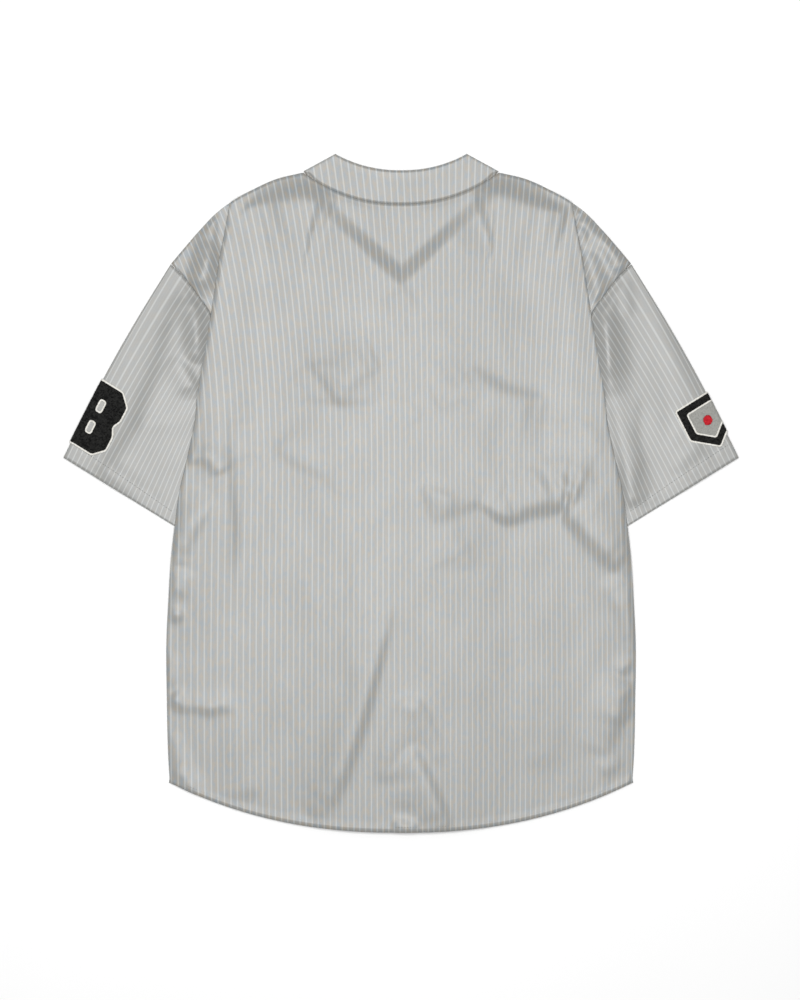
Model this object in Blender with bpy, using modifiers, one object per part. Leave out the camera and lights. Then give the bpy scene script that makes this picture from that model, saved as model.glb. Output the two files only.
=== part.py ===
"""Baseball jersey laid face down, made of sewn cloth panels.

Each panel is a sheet of cloth: a grid moved to the panel's middle surface, then thickened.
Tables and sizes are in millimetres. +X is to the right, +Y towards the neck, +Z up.
A half table gives the right side, and the left side mirrors it.
"""
import math
from collections import namedtuple

import bmesh
import bpy

COLLECTION_NAME = "baseball_jersey"
METRES = 0.001

Station = namedtuple("Station", "y x")
Span = namedtuple("Span", "start end count")
Ridge = namedtuple("Ridge", "x0 y0 x1 y1 width height")
Finish = namedtuple("Finish", "name color roughness sheen")

# Cloth thickness and layers
CLOTH = 1.2
SEAM_GAP = 0.3
LAYER = CLOTH + SEAM_GAP
FOLD_RADIUS = LAYER / 2
FOLD_INSET = FOLD_RADIUS + CLOTH / 2
EDGE_CLEARANCE = 0.2
FOLD_STEPS = 4
ON_FLOOR = CLOTH / 2
ON_FRONT = ON_FLOOR + LAYER
OVER_RETURN = ON_FLOOR + 3 * LAYER

# Body
HEM_CORNER_Y = -336.2
HEM_LOW_Y = -393.5
HEM_HALF_WIDTH = 267.2
HEM_POWER = 2.3
PLEAT_TOP_Y = 336.0
ARMHOLE_TOP_Y = 266.0
UNDERARM_Y = 85.0
BODY_EASE = 0.3
UNDERARM_EASE = 2.6
UNDERARM_EASE_LENGTH = 40.0
TUCK_BLEND = 42.0
TOP_EDGE_BLEND = 26.0
FOLD_EDGE_FADE = 14.0

# Where the back's return rests on the tucked sleeve, and where it reaches the floor
RETURN_DOWN_Y = -90.0
RETURN_UP_Y = -66.0
SEAM_LAPPED_Y = 60.0
SEAM_FLAT_Y = 36.0
RETURN_RAMP = 9.0
RETURN_RAMP_SHARE = 0.66
RETURN_STEPS = 6

# Neck
NECK_TIP = (75.7, 393.5)
NECK_CORNER = (113.0, 373.2)
NECK_SEAM_LOW = 335.1
NECK_SEAM_RISE = 36.3
NECK_HALF_WIDTH = 113.6
NECK_EDGE_LOW = 374.0
NECK_POWER = 2.2
NECK_GAP = 0.4
V_SEAM_Y = 241.2
V_EDGE_Y = 299.0
V_ARM_STEPS = 8

# Front closure and buttons
PLACKET_HALF = 15.0
PLACKET_FLAT_HALF = 27.0
PLACKET_RAMP = 30.0
PLACKET_RAMP_FADE = 34.0
BUTTON_RADIUS = 6.0
BUTTON_THICKNESS = 2.2
BUTTON_COUNT = 6
BUTTON_TOP_Y = 195.0
BUTTON_PITCH = 98.0
BUTTON_SIDES = 14
BUTTON_RIM = 1.3
BUTTON_DISH = 0.66
BUTTON_EDGE = 0.4
OUTER_FRONT_RISE = BUTTON_THICKNESS + SEAM_GAP
UNDER_FRONT_RISE = OUTER_FRONT_RISE + LAYER
PLACKET_COVER = ON_FLOOR + UNDER_FRONT_RISE + LAYER + EDGE_CLEARANCE
PLACKET_COVER_HALF = 30.0
PLACKET_COVER_RAMP = 50.0
PLACKET_COVER_END_Y = 302.0
PLACKET_COVER_FADE = 28.0

# Sleeves
SLEEVE_TIP = (391.4, 41.0)
SLEEVE_OPENING = 195.0
SLEEVE_HEM_ACROSS = (-0.851, -0.525)
SLEEVE_OUTWARD = (0.873, 0.487)
SLEEVE_LENGTH = 257.0
SLEEVE_BULGE = 4.0
SLEEVE_TOP = (266.1, 264.3)
SLEEVE_STEPS = (0.0, 0.12, 0.25, 0.4, 0.55, 0.7, 0.85, 1.0)
SLEEVE_LIFT_END = 60.0
SLEEVE_LIFT_FADE = 40.0
SLEEVE_LIFT_START = 0.3

# Applique, with its distance over the outer fold and up from the sleeve hem
PILE = 1.2
PILE_RADIUS = FOLD_INSET + SEAM_GAP + PILE / 2
PILE_QUARTER = PILE_RADIUS * math.pi / 2
SLEEVE_LIFT = PILE + SEAM_GAP
NUMERAL_LEFT = -14.0
NUMERAL_BASE = 20.0
NUMERAL_WIDTH = 57.0
NUMERAL_HEIGHT = 81.0
NUMERAL_CHAMFER = 13.0
NUMERAL_STROKE = 25.0
NUMERAL_END_STROKE = 20.0
NUMERAL_BAR = 13.0
NUMERAL_WAIST = 5.0
PATCH_CENTRE = 15.0
PATCH_HALF_WIDTH = 29.0
PATCH_BASE = 22.0
PATCH_HEIGHT = 62.0
PATCH_POINT = 24.0

# Half tables: where the body's side fold, shoulder, armhole and side seam run
SIDE_FOLD = (
    Station(336.0, 198.5), Station(300.0, 205.0), Station(278.0, 209.5), Station(246.0, 214.5),
    Station(210.0, 220.0), Station(176.0, 226.0), Station(140.0, 232.0), Station(118.0, 235.8),
    Station(88.0, 238.5), Station(32.0, 250.0), Station(4.0, 256.5), Station(-38.5, 262.5),
    Station(-78.0, 266.8), Station(-124.0, 269.7), Station(-170.0, 272.0), Station(-240.0, 271.5),
    Station(-310.0, 269.7), Station(-336.2, 268.0),
)
SHOULDER = (
    Station(371.4, 113.6), Station(363.0, 147.0), Station(351.5, 172.0), Station(340.0, 193.0),
    Station(328.0, 210.0), Station(305.0, 233.0), Station(282.0, 253.0), Station(266.0, 266.5),
)
ARMHOLE = (
    Station(266.0, 266.5), Station(249.0, 250.5), Station(228.0, 234.5), Station(208.0, 221.0),
    Station(180.0, 213.0), Station(150.0, 209.0), Station(120.0, 208.0), Station(100.0, 209.5),
    Station(85.0, 212.0),
)
TUCK = (
    Station(336.0, 195.0), Station(300.0, 197.0), Station(266.0, 198.0), Station(208.0, 200.0),
    Station(150.0, 203.0), Station(100.0, 203.0), Station(85.0, 204.0),
)
SIDE_SEAM = (
    Station(60.0, 199.0), Station(0.0, 204.0), Station(-66.0, 212.5), Station(-90.0, 219.0),
    Station(-170.0, 238.0), Station(-250.0, 250.0), Station(-310.0, 257.0),
    Station(-336.2, 260.0),
)

# Rows of the body panels along the side, from the hem up
BODY_SPANS = (
    Span(HEM_CORNER_Y, RETURN_DOWN_Y, 9), Span(RETURN_DOWN_Y, RETURN_UP_Y, 1),
    Span(RETURN_UP_Y, SEAM_LAPPED_Y, 5), Span(SEAM_LAPPED_Y, UNDERARM_Y, 1),
    Span(UNDERARM_Y, 208.0, 5), Span(208.0, ARMHOLE_TOP_Y, 3),
)
PLEAT_SPAN = Span(ARMHOLE_TOP_Y, PLEAT_TOP_Y, 4)

# Columns across half a panel, as shares of its width
NECK_COLUMNS = 5
SHOULDER_COLUMNS = (0.67, 0.76, 0.84, 0.91, 0.96, 1.0)
FRONT_COLUMNS = (0.0, 0.1, 0.17, 0.24, 0.31, 0.5, 0.75, 1.0)

# The largest folds that stand up in the back and the sleeves
BACK_RIDGES = (
    Ridge(-34.0, -80.0, -60.0, -228.0, 17.0, 6.5), Ridge(-60.0, -228.0, -100.0, -372.0, 17.0, 6.5),
    Ridge(22.0, -225.0, 64.0, -372.0, 14.0, 3.5), Ridge(84.0, -13.0, 192.0, -10.0, 13.0, 4.5),
    Ridge(192.0, -30.0, 246.0, -96.0, 14.0, 3.0), Ridge(-186.0, 316.0, -84.0, 338.0, 14.0, 3.5),
    Ridge(186.0, 316.0, 84.0, 338.0, 14.0, 3.5), Ridge(-150.0, 50.0, -50.0, -4.0, 14.0, 2.5),
    Ridge(-201.0, 250.0, -190.0, -60.0, 16.0, 2.0), Ridge(-190.0, -60.0, -168.0, -350.0, 18.0, 2.5),
    Ridge(128.0, -50.0, 140.0, -300.0, 16.0, 2.5), Ridge(238.0, -230.0, 228.0, -310.0, 10.0, 2.0),
)
SLEEVE_RIDGE_ACROSS = 0.45
SLEEVE_RIDGE_WIDTH = 0.1
SLEEVE_RIDGE_HEIGHT = 3.0
SLEEVE_RIDGE_START = 0.35
SLEEVE_RIDGE_RUN = 0.25
SLEEVE_RIDGE_CLEARANCE = 3.0
SLEEVE_RIDGE_FADE = 16.0

SATIN = Finish("jersey_satin", (0.49, 0.5, 0.47, 1.0), 0.38, 0.3)
PILE_BLACK = Finish("applique_pile", (0.012, 0.012, 0.014, 1.0), 0.9, 0.4)
BUTTON_RESIN = Finish("button_resin", (0.42, 0.43, 0.41, 1.0), 0.3, 0.0)


def clear_scene():
    """Remove every object of the open scene."""
    for item in list(bpy.data.objects):
        bpy.data.objects.remove(item, do_unlink=True)


def make_material(finish):
    """Return the Principled material that a finish describes."""
    material = bpy.data.materials.new(finish.name)
    material.use_nodes = True
    shader = material.node_tree.nodes["Principled BSDF"]
    shader.inputs["Base Color"].default_value = finish.color
    shader.inputs["Roughness"].default_value = finish.roughness
    shader.inputs["Metallic"].default_value = 0.0
    shader.inputs["Sheen Weight"].default_value = finish.sheen
    return material


def smooth(share):
    """Ease a share from 0 to 1, and hold it outside that range."""
    held = min(1.0, max(0.0, share))
    return held * held * (3.0 - 2.0 * held)


def mix(first, second, share):
    """Blend two numbers."""
    return first + (second - first) * share


def mix_points(first, second, share):
    """Blend two points of the plan."""
    return (mix(first[0], second[0], share), mix(first[1], second[1], share))


def side_at(stations, y):
    """Read x from a half table at a height y, on a straight line between stations."""
    ordered = sorted(stations)
    if y <= ordered[0].y:
        return ordered[0].x
    for low, high in zip(ordered, ordered[1:]):
        if y <= high.y:
            return mix(low.x, high.x, (y - low.y) / (high.y - low.y))
    return ordered[-1].x


def shoulder_y(x):
    """Height of the shoulder seam at a distance x from the centre."""
    for high, low in zip(SHOULDER, SHOULDER[1:]):
        if x <= low.x:
            return mix(high.y, low.y, (x - high.x) / (low.x - high.x))
    return SHOULDER[-1].y


def neck_seam_y(x):
    """Height of the seam between the back and its neck band."""
    return NECK_SEAM_LOW + NECK_SEAM_RISE * (abs(x) / NECK_HALF_WIDTH) ** NECK_POWER


def hem_y(x):
    """Height of the curved hem."""
    rise = HEM_CORNER_Y - HEM_LOW_Y
    return HEM_LOW_Y + rise * (abs(x) / HEM_HALF_WIDTH) ** HEM_POWER


def back_top_y(x):
    """Height of the back panel's top edge: the neck seam, then the shoulder."""
    if abs(x) <= NECK_HALF_WIDTH:
        return neck_seam_y(x)
    return shoulder_y(abs(x))


def rows_of(spans):
    """List the row heights that a set of spans gives, each once."""
    rows = [spans[0].start]
    for span in spans:
        for step in range(1, span.count + 1):
            rows.append(mix(span.start, span.end, step / span.count))
    return rows


def ridge_height(ridge, x, y):
    """Height that one fold adds at a point, with soft ends."""
    run_x = ridge.x1 - ridge.x0
    run_y = ridge.y1 - ridge.y0
    length_squared = run_x ** 2 + run_y ** 2
    along = ((x - ridge.x0) * run_x + (y - ridge.y0) * run_y) / length_squared
    held = min(1.0, max(0.0, along))
    away = math.hypot(x - ridge.x0 - run_x * held, y - ridge.y0 - run_y * held)
    return ridge.height * math.exp(-(away / ridge.width) ** 2)


def side_level(y):
    """Height of the back's upper layer along its side fold."""
    share = (y - RETURN_DOWN_Y) / (RETURN_UP_Y - RETURN_DOWN_Y)
    return mix(ON_FRONT, OVER_RETURN, min(1.0, max(0.0, share)))


def return_level(y):
    """Height of the layer turned under at the side."""
    return side_level(y) - LAYER


def seam_level(y):
    """Height of the back's sewn edge, which laps over the front near the underarm."""
    share = (y - SEAM_FLAT_Y) / (SEAM_LAPPED_Y - SEAM_FLAT_Y)
    return mix(ON_FLOOR, ON_FRONT, min(1.0, max(0.0, share)))


def tuck_x(y):
    """Distance from the centre at which the turned layer ends or turns back."""
    if y >= UNDERARM_Y:
        return side_at(TUCK, y)
    return side_at(SIDE_SEAM, y) + RETURN_RAMP


def placket_ramp(x, y):
    """Share of the closure's rise at a point, which dies away above the V of the neck."""
    across = 1.0 - smooth((abs(x) - PLACKET_FLAT_HALF) / PLACKET_RAMP)
    return across * (1.0 - smooth((y - V_SEAM_Y) / PLACKET_RAMP_FADE))


def armhole_edge(y):
    """Cut edge of a body panel at the armhole, eased clear of the sleeve's fold underarm."""
    ease = UNDERARM_EASE * (1.0 - smooth((y - UNDERARM_Y) / UNDERARM_EASE_LENGTH))
    return side_at(ARMHOLE, y) - EDGE_CLEARANCE - ease


def back_level(x, y, side_y):
    """Height of the back's upper layer at a point of the plan."""
    calm = ON_FRONT + BODY_EASE
    beside = smooth((abs(x) - tuck_x(side_y) + TUCK_BLEND + LAYER) / TUCK_BLEND)
    level = mix(calm, side_level(side_y), beside)
    cover = 1.0 - smooth((abs(x) - PLACKET_COVER_HALF) / PLACKET_COVER_RAMP)
    cover *= 1.0 - smooth((y - PLACKET_COVER_END_Y) / PLACKET_COVER_FADE)
    level += (PLACKET_COVER - calm) * cover
    below_top = smooth((back_top_y(x) - y) / TOP_EDGE_BLEND)
    level = ON_FRONT + (level - ON_FRONT) * max(below_top, beside)
    inside = smooth((side_at(SIDE_FOLD, side_y) - abs(x)) / FOLD_EDGE_FADE)
    folds = max(ridge_height(ridge, x, y) for ridge in BACK_RIDGES)
    return level + folds * inside * below_top


def turn(centre_x, top, outward):
    """Points of a half-round fold from its upper to its lower layer, both ends included."""
    points = []
    for step in range(FOLD_STEPS + 1):
        angle = math.pi * step / FOLD_STEPS
        x = centre_x + outward * FOLD_RADIUS * math.sin(angle)
        points.append((x, top - FOLD_RADIUS + FOLD_RADIUS * math.cos(angle)))
    return points


def wing_path(y):
    """Path of the back beyond its side fold: under, then back out to the armhole or the seam."""
    fold_x = side_at(SIDE_FOLD, y) - FOLD_INSET
    path = turn(fold_x, side_level(y), 1.0)[1:]
    inner_x = tuck_x(y)
    if y >= UNDERARM_Y:
        shoulder_edge = side_at(SHOULDER, y) - EDGE_CLEARANCE
        edge = armhole_edge(y) if y <= ARMHOLE_TOP_Y else shoulder_edge
        path += turn(inner_x, return_level(y), -1.0)
        path += [(mix(inner_x, edge, share), ON_FRONT) for share in (0.5, 1.0)]
        return path
    seam_x = side_at(SIDE_SEAM, y)
    path.append((inner_x, return_level(y)))
    for step in range(1, RETURN_STEPS + 1):
        share = step / RETURN_STEPS
        z = mix(return_level(y), seam_level(y), smooth(share / RETURN_RAMP_SHARE))
        path.append((mix(inner_x, seam_x, share), z))
    return path


def back_columns():
    """Shares of the half width at which the back's columns stand."""
    neck_share = NECK_HALF_WIDTH / (side_at(SIDE_FOLD, PLEAT_TOP_Y) - FOLD_INSET)
    half = [neck_share * step / NECK_COLUMNS for step in range(1, NECK_COLUMNS + 1)]
    half += SHOULDER_COLUMNS
    return [-share for share in reversed(half)] + [0.0] + half


def back_row(side_y, columns):
    """One row of the back from its left sewn edge to its right sewn edge."""
    half_width = side_at(SIDE_FOLD, side_y) - FOLD_INSET
    share = (side_y - HEM_CORNER_Y) / (PLEAT_TOP_Y - HEM_CORNER_Y)
    low = max(0.0, 1.0 - 2.0 * share) ** 2
    high = max(0.0, 2.0 * share - 1.0) ** 2
    wing = wing_path(side_y)
    row = [(-x, side_y, z) for x, z in reversed(wing)]
    for column in columns:
        x = column * half_width
        y = side_y + low * (hem_y(x) - HEM_CORNER_Y) + high * (back_top_y(x) - PLEAT_TOP_Y)
        row.append((x, y, back_level(x, y, side_y)))
    row += [(x, side_y, z) for x, z in wing]
    return row


def front_edge_x(y):
    """Outer edge of a front panel: the side seam, then the armhole."""
    if y < UNDERARM_Y:
        return side_at(SIDE_SEAM, y) - EDGE_CLEARANCE
    return armhole_edge(y)


def front_inner_point(share):
    """Inner edge of the right front: its closing edge, then the arm of the V neck."""
    top_y = SHOULDER[0].y - EDGE_CLEARANCE
    slope = (top_y - V_SEAM_Y + 2.0 * NECK_GAP) / NECK_HALF_WIDTH
    y = mix(HEM_LOW_Y, top_y, share)
    x = (y - top_y) / slope + NECK_HALF_WIDTH
    return (max(-PLACKET_HALF, x), y)


def front_row(side_y, rise):
    """One row of the right front panel, from its closing edge out to the side."""
    share = (side_y - HEM_CORNER_Y) / (ARMHOLE_TOP_Y - HEM_CORNER_Y)
    low = max(0.0, 1.0 - 2.0 * share) ** 2
    high = max(0.0, 2.0 * share - 1.0) ** 2
    inner = front_inner_point(share)
    outer = (front_edge_x(side_y), side_y)
    row = []
    for column in FRONT_COLUMNS:
        x, y = mix_points(inner, outer, column)
        hem_x = mix(-PLACKET_HALF, HEM_HALF_WIDTH, column)
        top_x = mix(NECK_HALF_WIDTH, front_edge_x(ARMHOLE_TOP_Y), column)
        y += low * (hem_y(hem_x) - mix(HEM_LOW_Y, HEM_CORNER_Y, column))
        y += high * (shoulder_y(top_x) - mix(SHOULDER[0].y, ARMHOLE_TOP_Y, column))
        row.append((x, y, ON_FLOOR + rise * placket_ramp(x, y)))
    return row


def collect(item, collection, material):
    """Put an object in the garment's collection and give it its material."""
    item.data.materials.append(material)
    item.data.shade_smooth()
    collection.objects.link(item)
    return item


def make_sheet(name, rows, material, collection, thickness=CLOTH, closed=False):
    """Move a grid to rows of points in millimetres and thicken it about that surface.

    A closed sheet joins its last column to its first, as a tube.
    """
    if closed:
        rows = [row + row[:1] for row in rows]
    across = len(rows[0])
    shape = bmesh.new()
    bmesh.ops.create_grid(shape, x_segments=across - 1, y_segments=len(rows) - 1, size=1.0)
    shape.verts.ensure_lookup_table()
    for index, vertex in enumerate(shape.verts):
        point = rows[index // across][index % across]
        vertex.co = [value * METRES for value in point]
    if closed:
        bmesh.ops.remove_doubles(shape, verts=shape.verts, dist=0.00001)
    mesh = bpy.data.meshes.new(name)
    shape.to_mesh(mesh)
    shape.free()
    item = bpy.data.objects.new(name, mesh)
    solidify = item.modifiers.new("cloth thickness", "SOLIDIFY")
    solidify.thickness = thickness * METRES
    solidify.offset = 0.0
    solidify.use_even_offset = True
    return collect(item, collection, material)


def make_back(collection, material):
    """Back panel with its side pleats, its returns and its largest folds."""
    columns = back_columns()
    rows = [back_row(y, columns) for y in rows_of(BODY_SPANS + (PLEAT_SPAN,))]
    return make_sheet("back_panel", rows, material, collection)


def make_front(name, side, rise, collection, material):
    """One front panel on the floor; the side is 1 for the right of the plan, -1 for the left."""
    rows = []
    for y in rows_of(BODY_SPANS):
        row = [(side * point[0], point[1], point[2]) for point in front_row(y, rise)]
        rows.append(row if side > 0 else row[::-1])
    return make_sheet(name, rows, material, collection)


def sleeve_lift(across, along):
    """How far the sleeve's outer strip is held up by the pile that wraps its fold."""
    fade = 1.0 - smooth((across * SLEEVE_OPENING - SLEEVE_LIFT_END) / SLEEVE_LIFT_FADE)
    return SLEEVE_LIFT * fade * smooth(along / SLEEVE_LIFT_START)


def sleeve_plan(seam_point, across, along):
    """Plan point of the right sleeve on a line from its armhole seam to its hem."""
    hem = [SLEEVE_TIP[axis] - FOLD_INSET * SLEEVE_OUTWARD[axis]
           + SLEEVE_OPENING * across * SLEEVE_HEM_ACROSS[axis] for axis in (0, 1)]
    x, y = mix_points(seam_point, hem, along)
    bulge = SLEEVE_BULGE * math.sin(math.pi * along) * (1.0 - across)
    return (x + bulge * SLEEVE_OUTWARD[0], y + bulge * SLEEVE_OUTWARD[1])


def sleeve_fold(across, along, x, y):
    """Height of the sleeve's long soft fold, clear of the body that covers it."""
    shape = math.exp(-((across - SLEEVE_RIDGE_ACROSS) / SLEEVE_RIDGE_WIDTH) ** 2)
    shape *= smooth((along - SLEEVE_RIDGE_START) / SLEEVE_RIDGE_RUN)
    outside = x - side_at(SIDE_FOLD, y) - SLEEVE_RIDGE_CLEARANCE
    return SLEEVE_RIDGE_HEIGHT * shape * smooth(outside / SLEEVE_RIDGE_FADE)


def armhole_points():
    """Armhole seam of the right sleeve from its top to the underarm."""
    heights = [y for y in rows_of(BODY_SPANS) if y >= UNDERARM_Y]
    points = [(side_at(ARMHOLE, y) + EDGE_CLEARANCE, y) for y in reversed(heights)]
    points[0] = SLEEVE_TOP
    return points


def sleeve_ring(side, seam, along):
    """One ring round the flattened sleeve: upper layer, inner fold, lower layer, outer fold."""
    last = len(seam) - 1
    upper = []
    lower = []
    for index, point in enumerate(seam):
        across = index / last
        x, y = sleeve_plan(point, across, along)
        lift = sleeve_lift(across, along)
        upper.append((x, y, ON_FRONT + lift + sleeve_fold(across, along, x, y)))
        lower.append((x, y, ON_FLOOR + lift))
    inward = (-1.0, 0.0)
    ring = upper + half_fold(upper[-1], lower[-1], inward)
    ring += lower[::-1] + half_fold(lower[0], upper[0], SLEEVE_OUTWARD)
    ring = [(side * x, y, z) for x, y, z in ring]
    return ring if side > 0 else ring[::-1]


def half_fold(start, end, direction):
    """The inner points of a half-round fold between two stacked points."""
    middle = (start[2] + end[2]) / 2
    reach = (start[2] - end[2]) / 2
    points = []
    for step in range(1, FOLD_STEPS):
        angle = math.pi * step / FOLD_STEPS
        out = FOLD_RADIUS * math.sin(angle)
        x = start[0] + direction[0] * out
        y = start[1] + direction[1] * out
        points.append((x, y, middle + reach * math.cos(angle)))
    return points


def make_sleeve(name, side, collection, material):
    """One sleeve as a flattened open tube."""
    seam = armhole_points()
    rows = [sleeve_ring(side, seam, along) for along in SLEEVE_STEPS]
    return make_sheet(name, rows, material, collection, closed=True)


def band_row(inner, outer, level_of):
    """One row across the neck band, from its free edge to its seam."""
    row = []
    for share in (0.0, 0.5, 1.0):
        x, y = mix_points(inner, outer, share)
        row.append((x, y, level_of(x, y)))
    return row


def fold_line_point(point):
    """Move a point of the shoulder fold inwards to the band's middle surface."""
    run = (NECK_CORNER[0] - NECK_TIP[0], NECK_CORNER[1] - NECK_TIP[1])
    length = math.hypot(*run)
    normal = (-run[1] / length, run[0] / length)
    inset = (point[0] - normal[0] * FOLD_INSET, point[1] - normal[1] * FOLD_INSET)
    return inset, normal


def band_arm(side, rise):
    """Rows of the band under the neck, from the centre front out to the shoulder fold."""
    tip, normal = fold_line_point(NECK_TIP)
    corner = fold_line_point(NECK_CORNER)[0]
    start_x = SEAM_GAP / 2
    rows = []
    for step in range(V_ARM_STEPS + 1):
        share = step / V_ARM_STEPS
        inner = mix_points((start_x, V_EDGE_Y), tip, share)
        outer = mix_points((start_x, V_SEAM_Y), corner, share)
        rows.append(band_row(inner, outer, lambda x, y: ON_FLOOR + rise * placket_ramp(x, y)))
    start = rows[-1]
    end = [(x, y, ON_FRONT) for x, y, z in start]
    folds = [half_fold(low, high, normal) for low, high in zip(start, end)]
    rows += [[fold[step] for fold in folds] for step in range(FOLD_STEPS - 1)]
    return [[(side * x, y, z) for x, y, z in row] for row in rows]


def band_back():
    """Rows of the band across the back neck, in step with the back panel's columns."""
    tip = fold_line_point(NECK_TIP)[0]
    corner = fold_line_point(NECK_CORNER)[0]
    rows = []
    for step in range(-NECK_COLUMNS, NECK_COLUMNS + 1):
        share = step / NECK_COLUMNS
        outer_x = share * NECK_HALF_WIDTH
        outer = (outer_x, neck_seam_y(outer_x) + NECK_GAP)
        inner_y = mix(NECK_EDGE_LOW, tip[1], abs(share) ** NECK_POWER)
        inner = (share * tip[0], inner_y)
        if abs(step) == NECK_COLUMNS:
            outer = (share * corner[0], corner[1])
        rows.append(band_row(inner, outer, lambda x, y: ON_FRONT))
    return rows


def make_band(collection, material):
    """Neck band as one strip: left arm of the V, back neck, right arm of the V."""
    rows = band_arm(-1.0, OUTER_FRONT_RISE) + band_back()
    rows += band_arm(1.0, UNDER_FRONT_RISE)[::-1]
    return make_sheet("neck_band", rows, material, collection)


def pile_point(side, over, up):
    """Point of the applique's middle surface on a sleeve.

    The distance over is measured round the outer fold, positive on the upper layer.
    """
    if over > PILE_QUARTER:
        flat, out, z = over - PILE_QUARTER, 0.0, PILE_RADIUS
    elif over < -PILE_QUARTER:
        flat, out, z = -over - PILE_QUARTER, 0.0, -PILE_RADIUS
    else:
        angle = over / PILE_RADIUS
        flat, out, z = 0.0, PILE_RADIUS * math.cos(angle), PILE_RADIUS * math.sin(angle)
    x, y = sleeve_plan(SLEEVE_TOP, 0.0, 1.0 - up / SLEEVE_LENGTH)
    x += flat * SLEEVE_HEM_ACROSS[0] + out * SLEEVE_OUTWARD[0]
    y += flat * SLEEVE_HEM_ACROSS[1] + out * SLEEVE_OUTWARD[1]
    return (side * x, y, ON_FLOOR + FOLD_RADIUS + SLEEVE_LIFT + z)


def fold_lines():
    """Distances over the outer fold that keep the pile round as it turns."""
    return [PILE_QUARTER * step / 2 for step in (-2, -1, 0, 1, 2)]


def make_numeral(collection, material):
    """Block numeral eight, wrapped over the outer fold of the left sleeve."""
    far_stroke = NUMERAL_WIDTH - NUMERAL_STROKE
    far_chamfer = NUMERAL_WIDTH - NUMERAL_CHAMFER
    columns = [0.0] + [line - NUMERAL_LEFT for line in fold_lines()]
    columns += [NUMERAL_STROKE, far_stroke, far_chamfer, NUMERAL_WIDTH]
    middle = NUMERAL_HEIGHT / 2
    half = [0.0, NUMERAL_CHAMFER, NUMERAL_END_STROKE, middle - NUMERAL_BAR / 2]
    rows = half + [middle] + [NUMERAL_HEIGHT - height for height in reversed(half)]
    slot = columns.index(NUMERAL_STROKE)
    upper_slot = rows.index(middle + NUMERAL_BAR / 2)
    holes = {(slot, half.index(NUMERAL_END_STROKE)), (slot, upper_slot)}
    shape = bmesh.new()
    bmesh.ops.create_grid(shape, x_segments=len(columns) - 1, y_segments=len(rows) - 1, size=1.0)
    shape.verts.ensure_lookup_table()
    middle_row = rows.index(middle)
    for index, vertex in enumerate(shape.verts):
        row, column = divmod(index, len(columns))
        across = columns[column]
        if row == middle_row and column in (0, len(columns) - 1):
            across += NUMERAL_WAIST if column == 0 else -NUMERAL_WAIST
        point = pile_point(-1.0, NUMERAL_LEFT + across, NUMERAL_BASE + rows[row])
        vertex.co = [value * METRES for value in point]
    shape.faces.ensure_lookup_table()
    cells = len(columns) - 1
    cut = [face for face in shape.faces
           if (face.index % cells, face.index // cells) in holes]
    last_row = (len(rows) - 1) * len(columns)
    corners = [shape.verts[index]
               for index in (0, len(columns) - 1, last_row, last_row + len(columns) - 1)]
    chamfers = [(corner, [edge.other_vert(corner) for edge in corner.link_edges])
                for corner in corners]
    far = {corner: [vertex for vertex in corner.link_faces[0].verts
                    if vertex is not corner and vertex not in ends][0]
           for corner, ends in chamfers}
    for corner, ends in chamfers:
        shape.faces.new([ends[0], ends[1], far[corner]])
    bmesh.ops.delete(shape, geom=cut, context="FACES")
    bmesh.ops.delete(shape, geom=corners, context="VERTS")
    bmesh.ops.recalc_face_normals(shape, faces=shape.faces)
    mesh = bpy.data.meshes.new("sleeve_numeral")
    shape.to_mesh(mesh)
    shape.free()
    item = bpy.data.objects.new("sleeve_numeral", mesh)
    solidify = item.modifiers.new("pile height", "SOLIDIFY")
    solidify.thickness = PILE * METRES
    solidify.offset = 0.0
    solidify.use_even_offset = True
    return collect(item, collection, material)


def make_patch(collection, material):
    """Five-sided patch with its point to the hem, wrapped over the right sleeve's outer fold."""
    left = PATCH_CENTRE - PATCH_HALF_WIDTH
    right = PATCH_CENTRE + PATCH_HALF_WIDTH
    lines = [left, (left - PILE_QUARTER) / 2] + fold_lines()
    lines += [PATCH_CENTRE, (PATCH_CENTRE + right) / 2, right]
    rows = []
    for share in (0.0, 0.25, 0.5, 0.75, 1.0):
        row = []
        for line in lines:
            base = PATCH_POINT * abs(line - PATCH_CENTRE) / PATCH_HALF_WIDTH
            row.append(pile_point(1.0, line, PATCH_BASE + mix(base, PATCH_HEIGHT, share)))
        rows.append(row)
    return make_sheet("sleeve_patch", rows, material, collection, thickness=PILE)


def make_button(name, y, collection, material):
    """One turned button, face down on the floor, with a raised rim."""
    flat = BUTTON_RADIUS - BUTTON_EDGE
    rim = BUTTON_RADIUS - BUTTON_RIM
    profile = (
        (0.0, BUTTON_THICKNESS), (flat, BUTTON_THICKNESS),
        (BUTTON_RADIUS, BUTTON_THICKNESS - BUTTON_EDGE), (BUTTON_RADIUS, BUTTON_EDGE),
        (flat, 0.0), (rim, 0.0), (rim - BUTTON_EDGE, BUTTON_DISH), (0.0, BUTTON_DISH),
    )
    mesh = bpy.data.meshes.new(name)
    points = [(radius * METRES, 0.0, height * METRES) for radius, height in profile]
    edges = [(index, index + 1) for index in range(len(points) - 1)]
    mesh.from_pydata(points, edges, [])
    item = bpy.data.objects.new(name, mesh)
    item.location = (0.0, y * METRES, 0.0)
    screw = item.modifiers.new("turned", "SCREW")
    screw.steps = BUTTON_SIDES
    screw.render_steps = BUTTON_SIDES
    screw.use_merge_vertices = True
    screw.merge_threshold = 0.00001
    return collect(item, collection, material)


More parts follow.
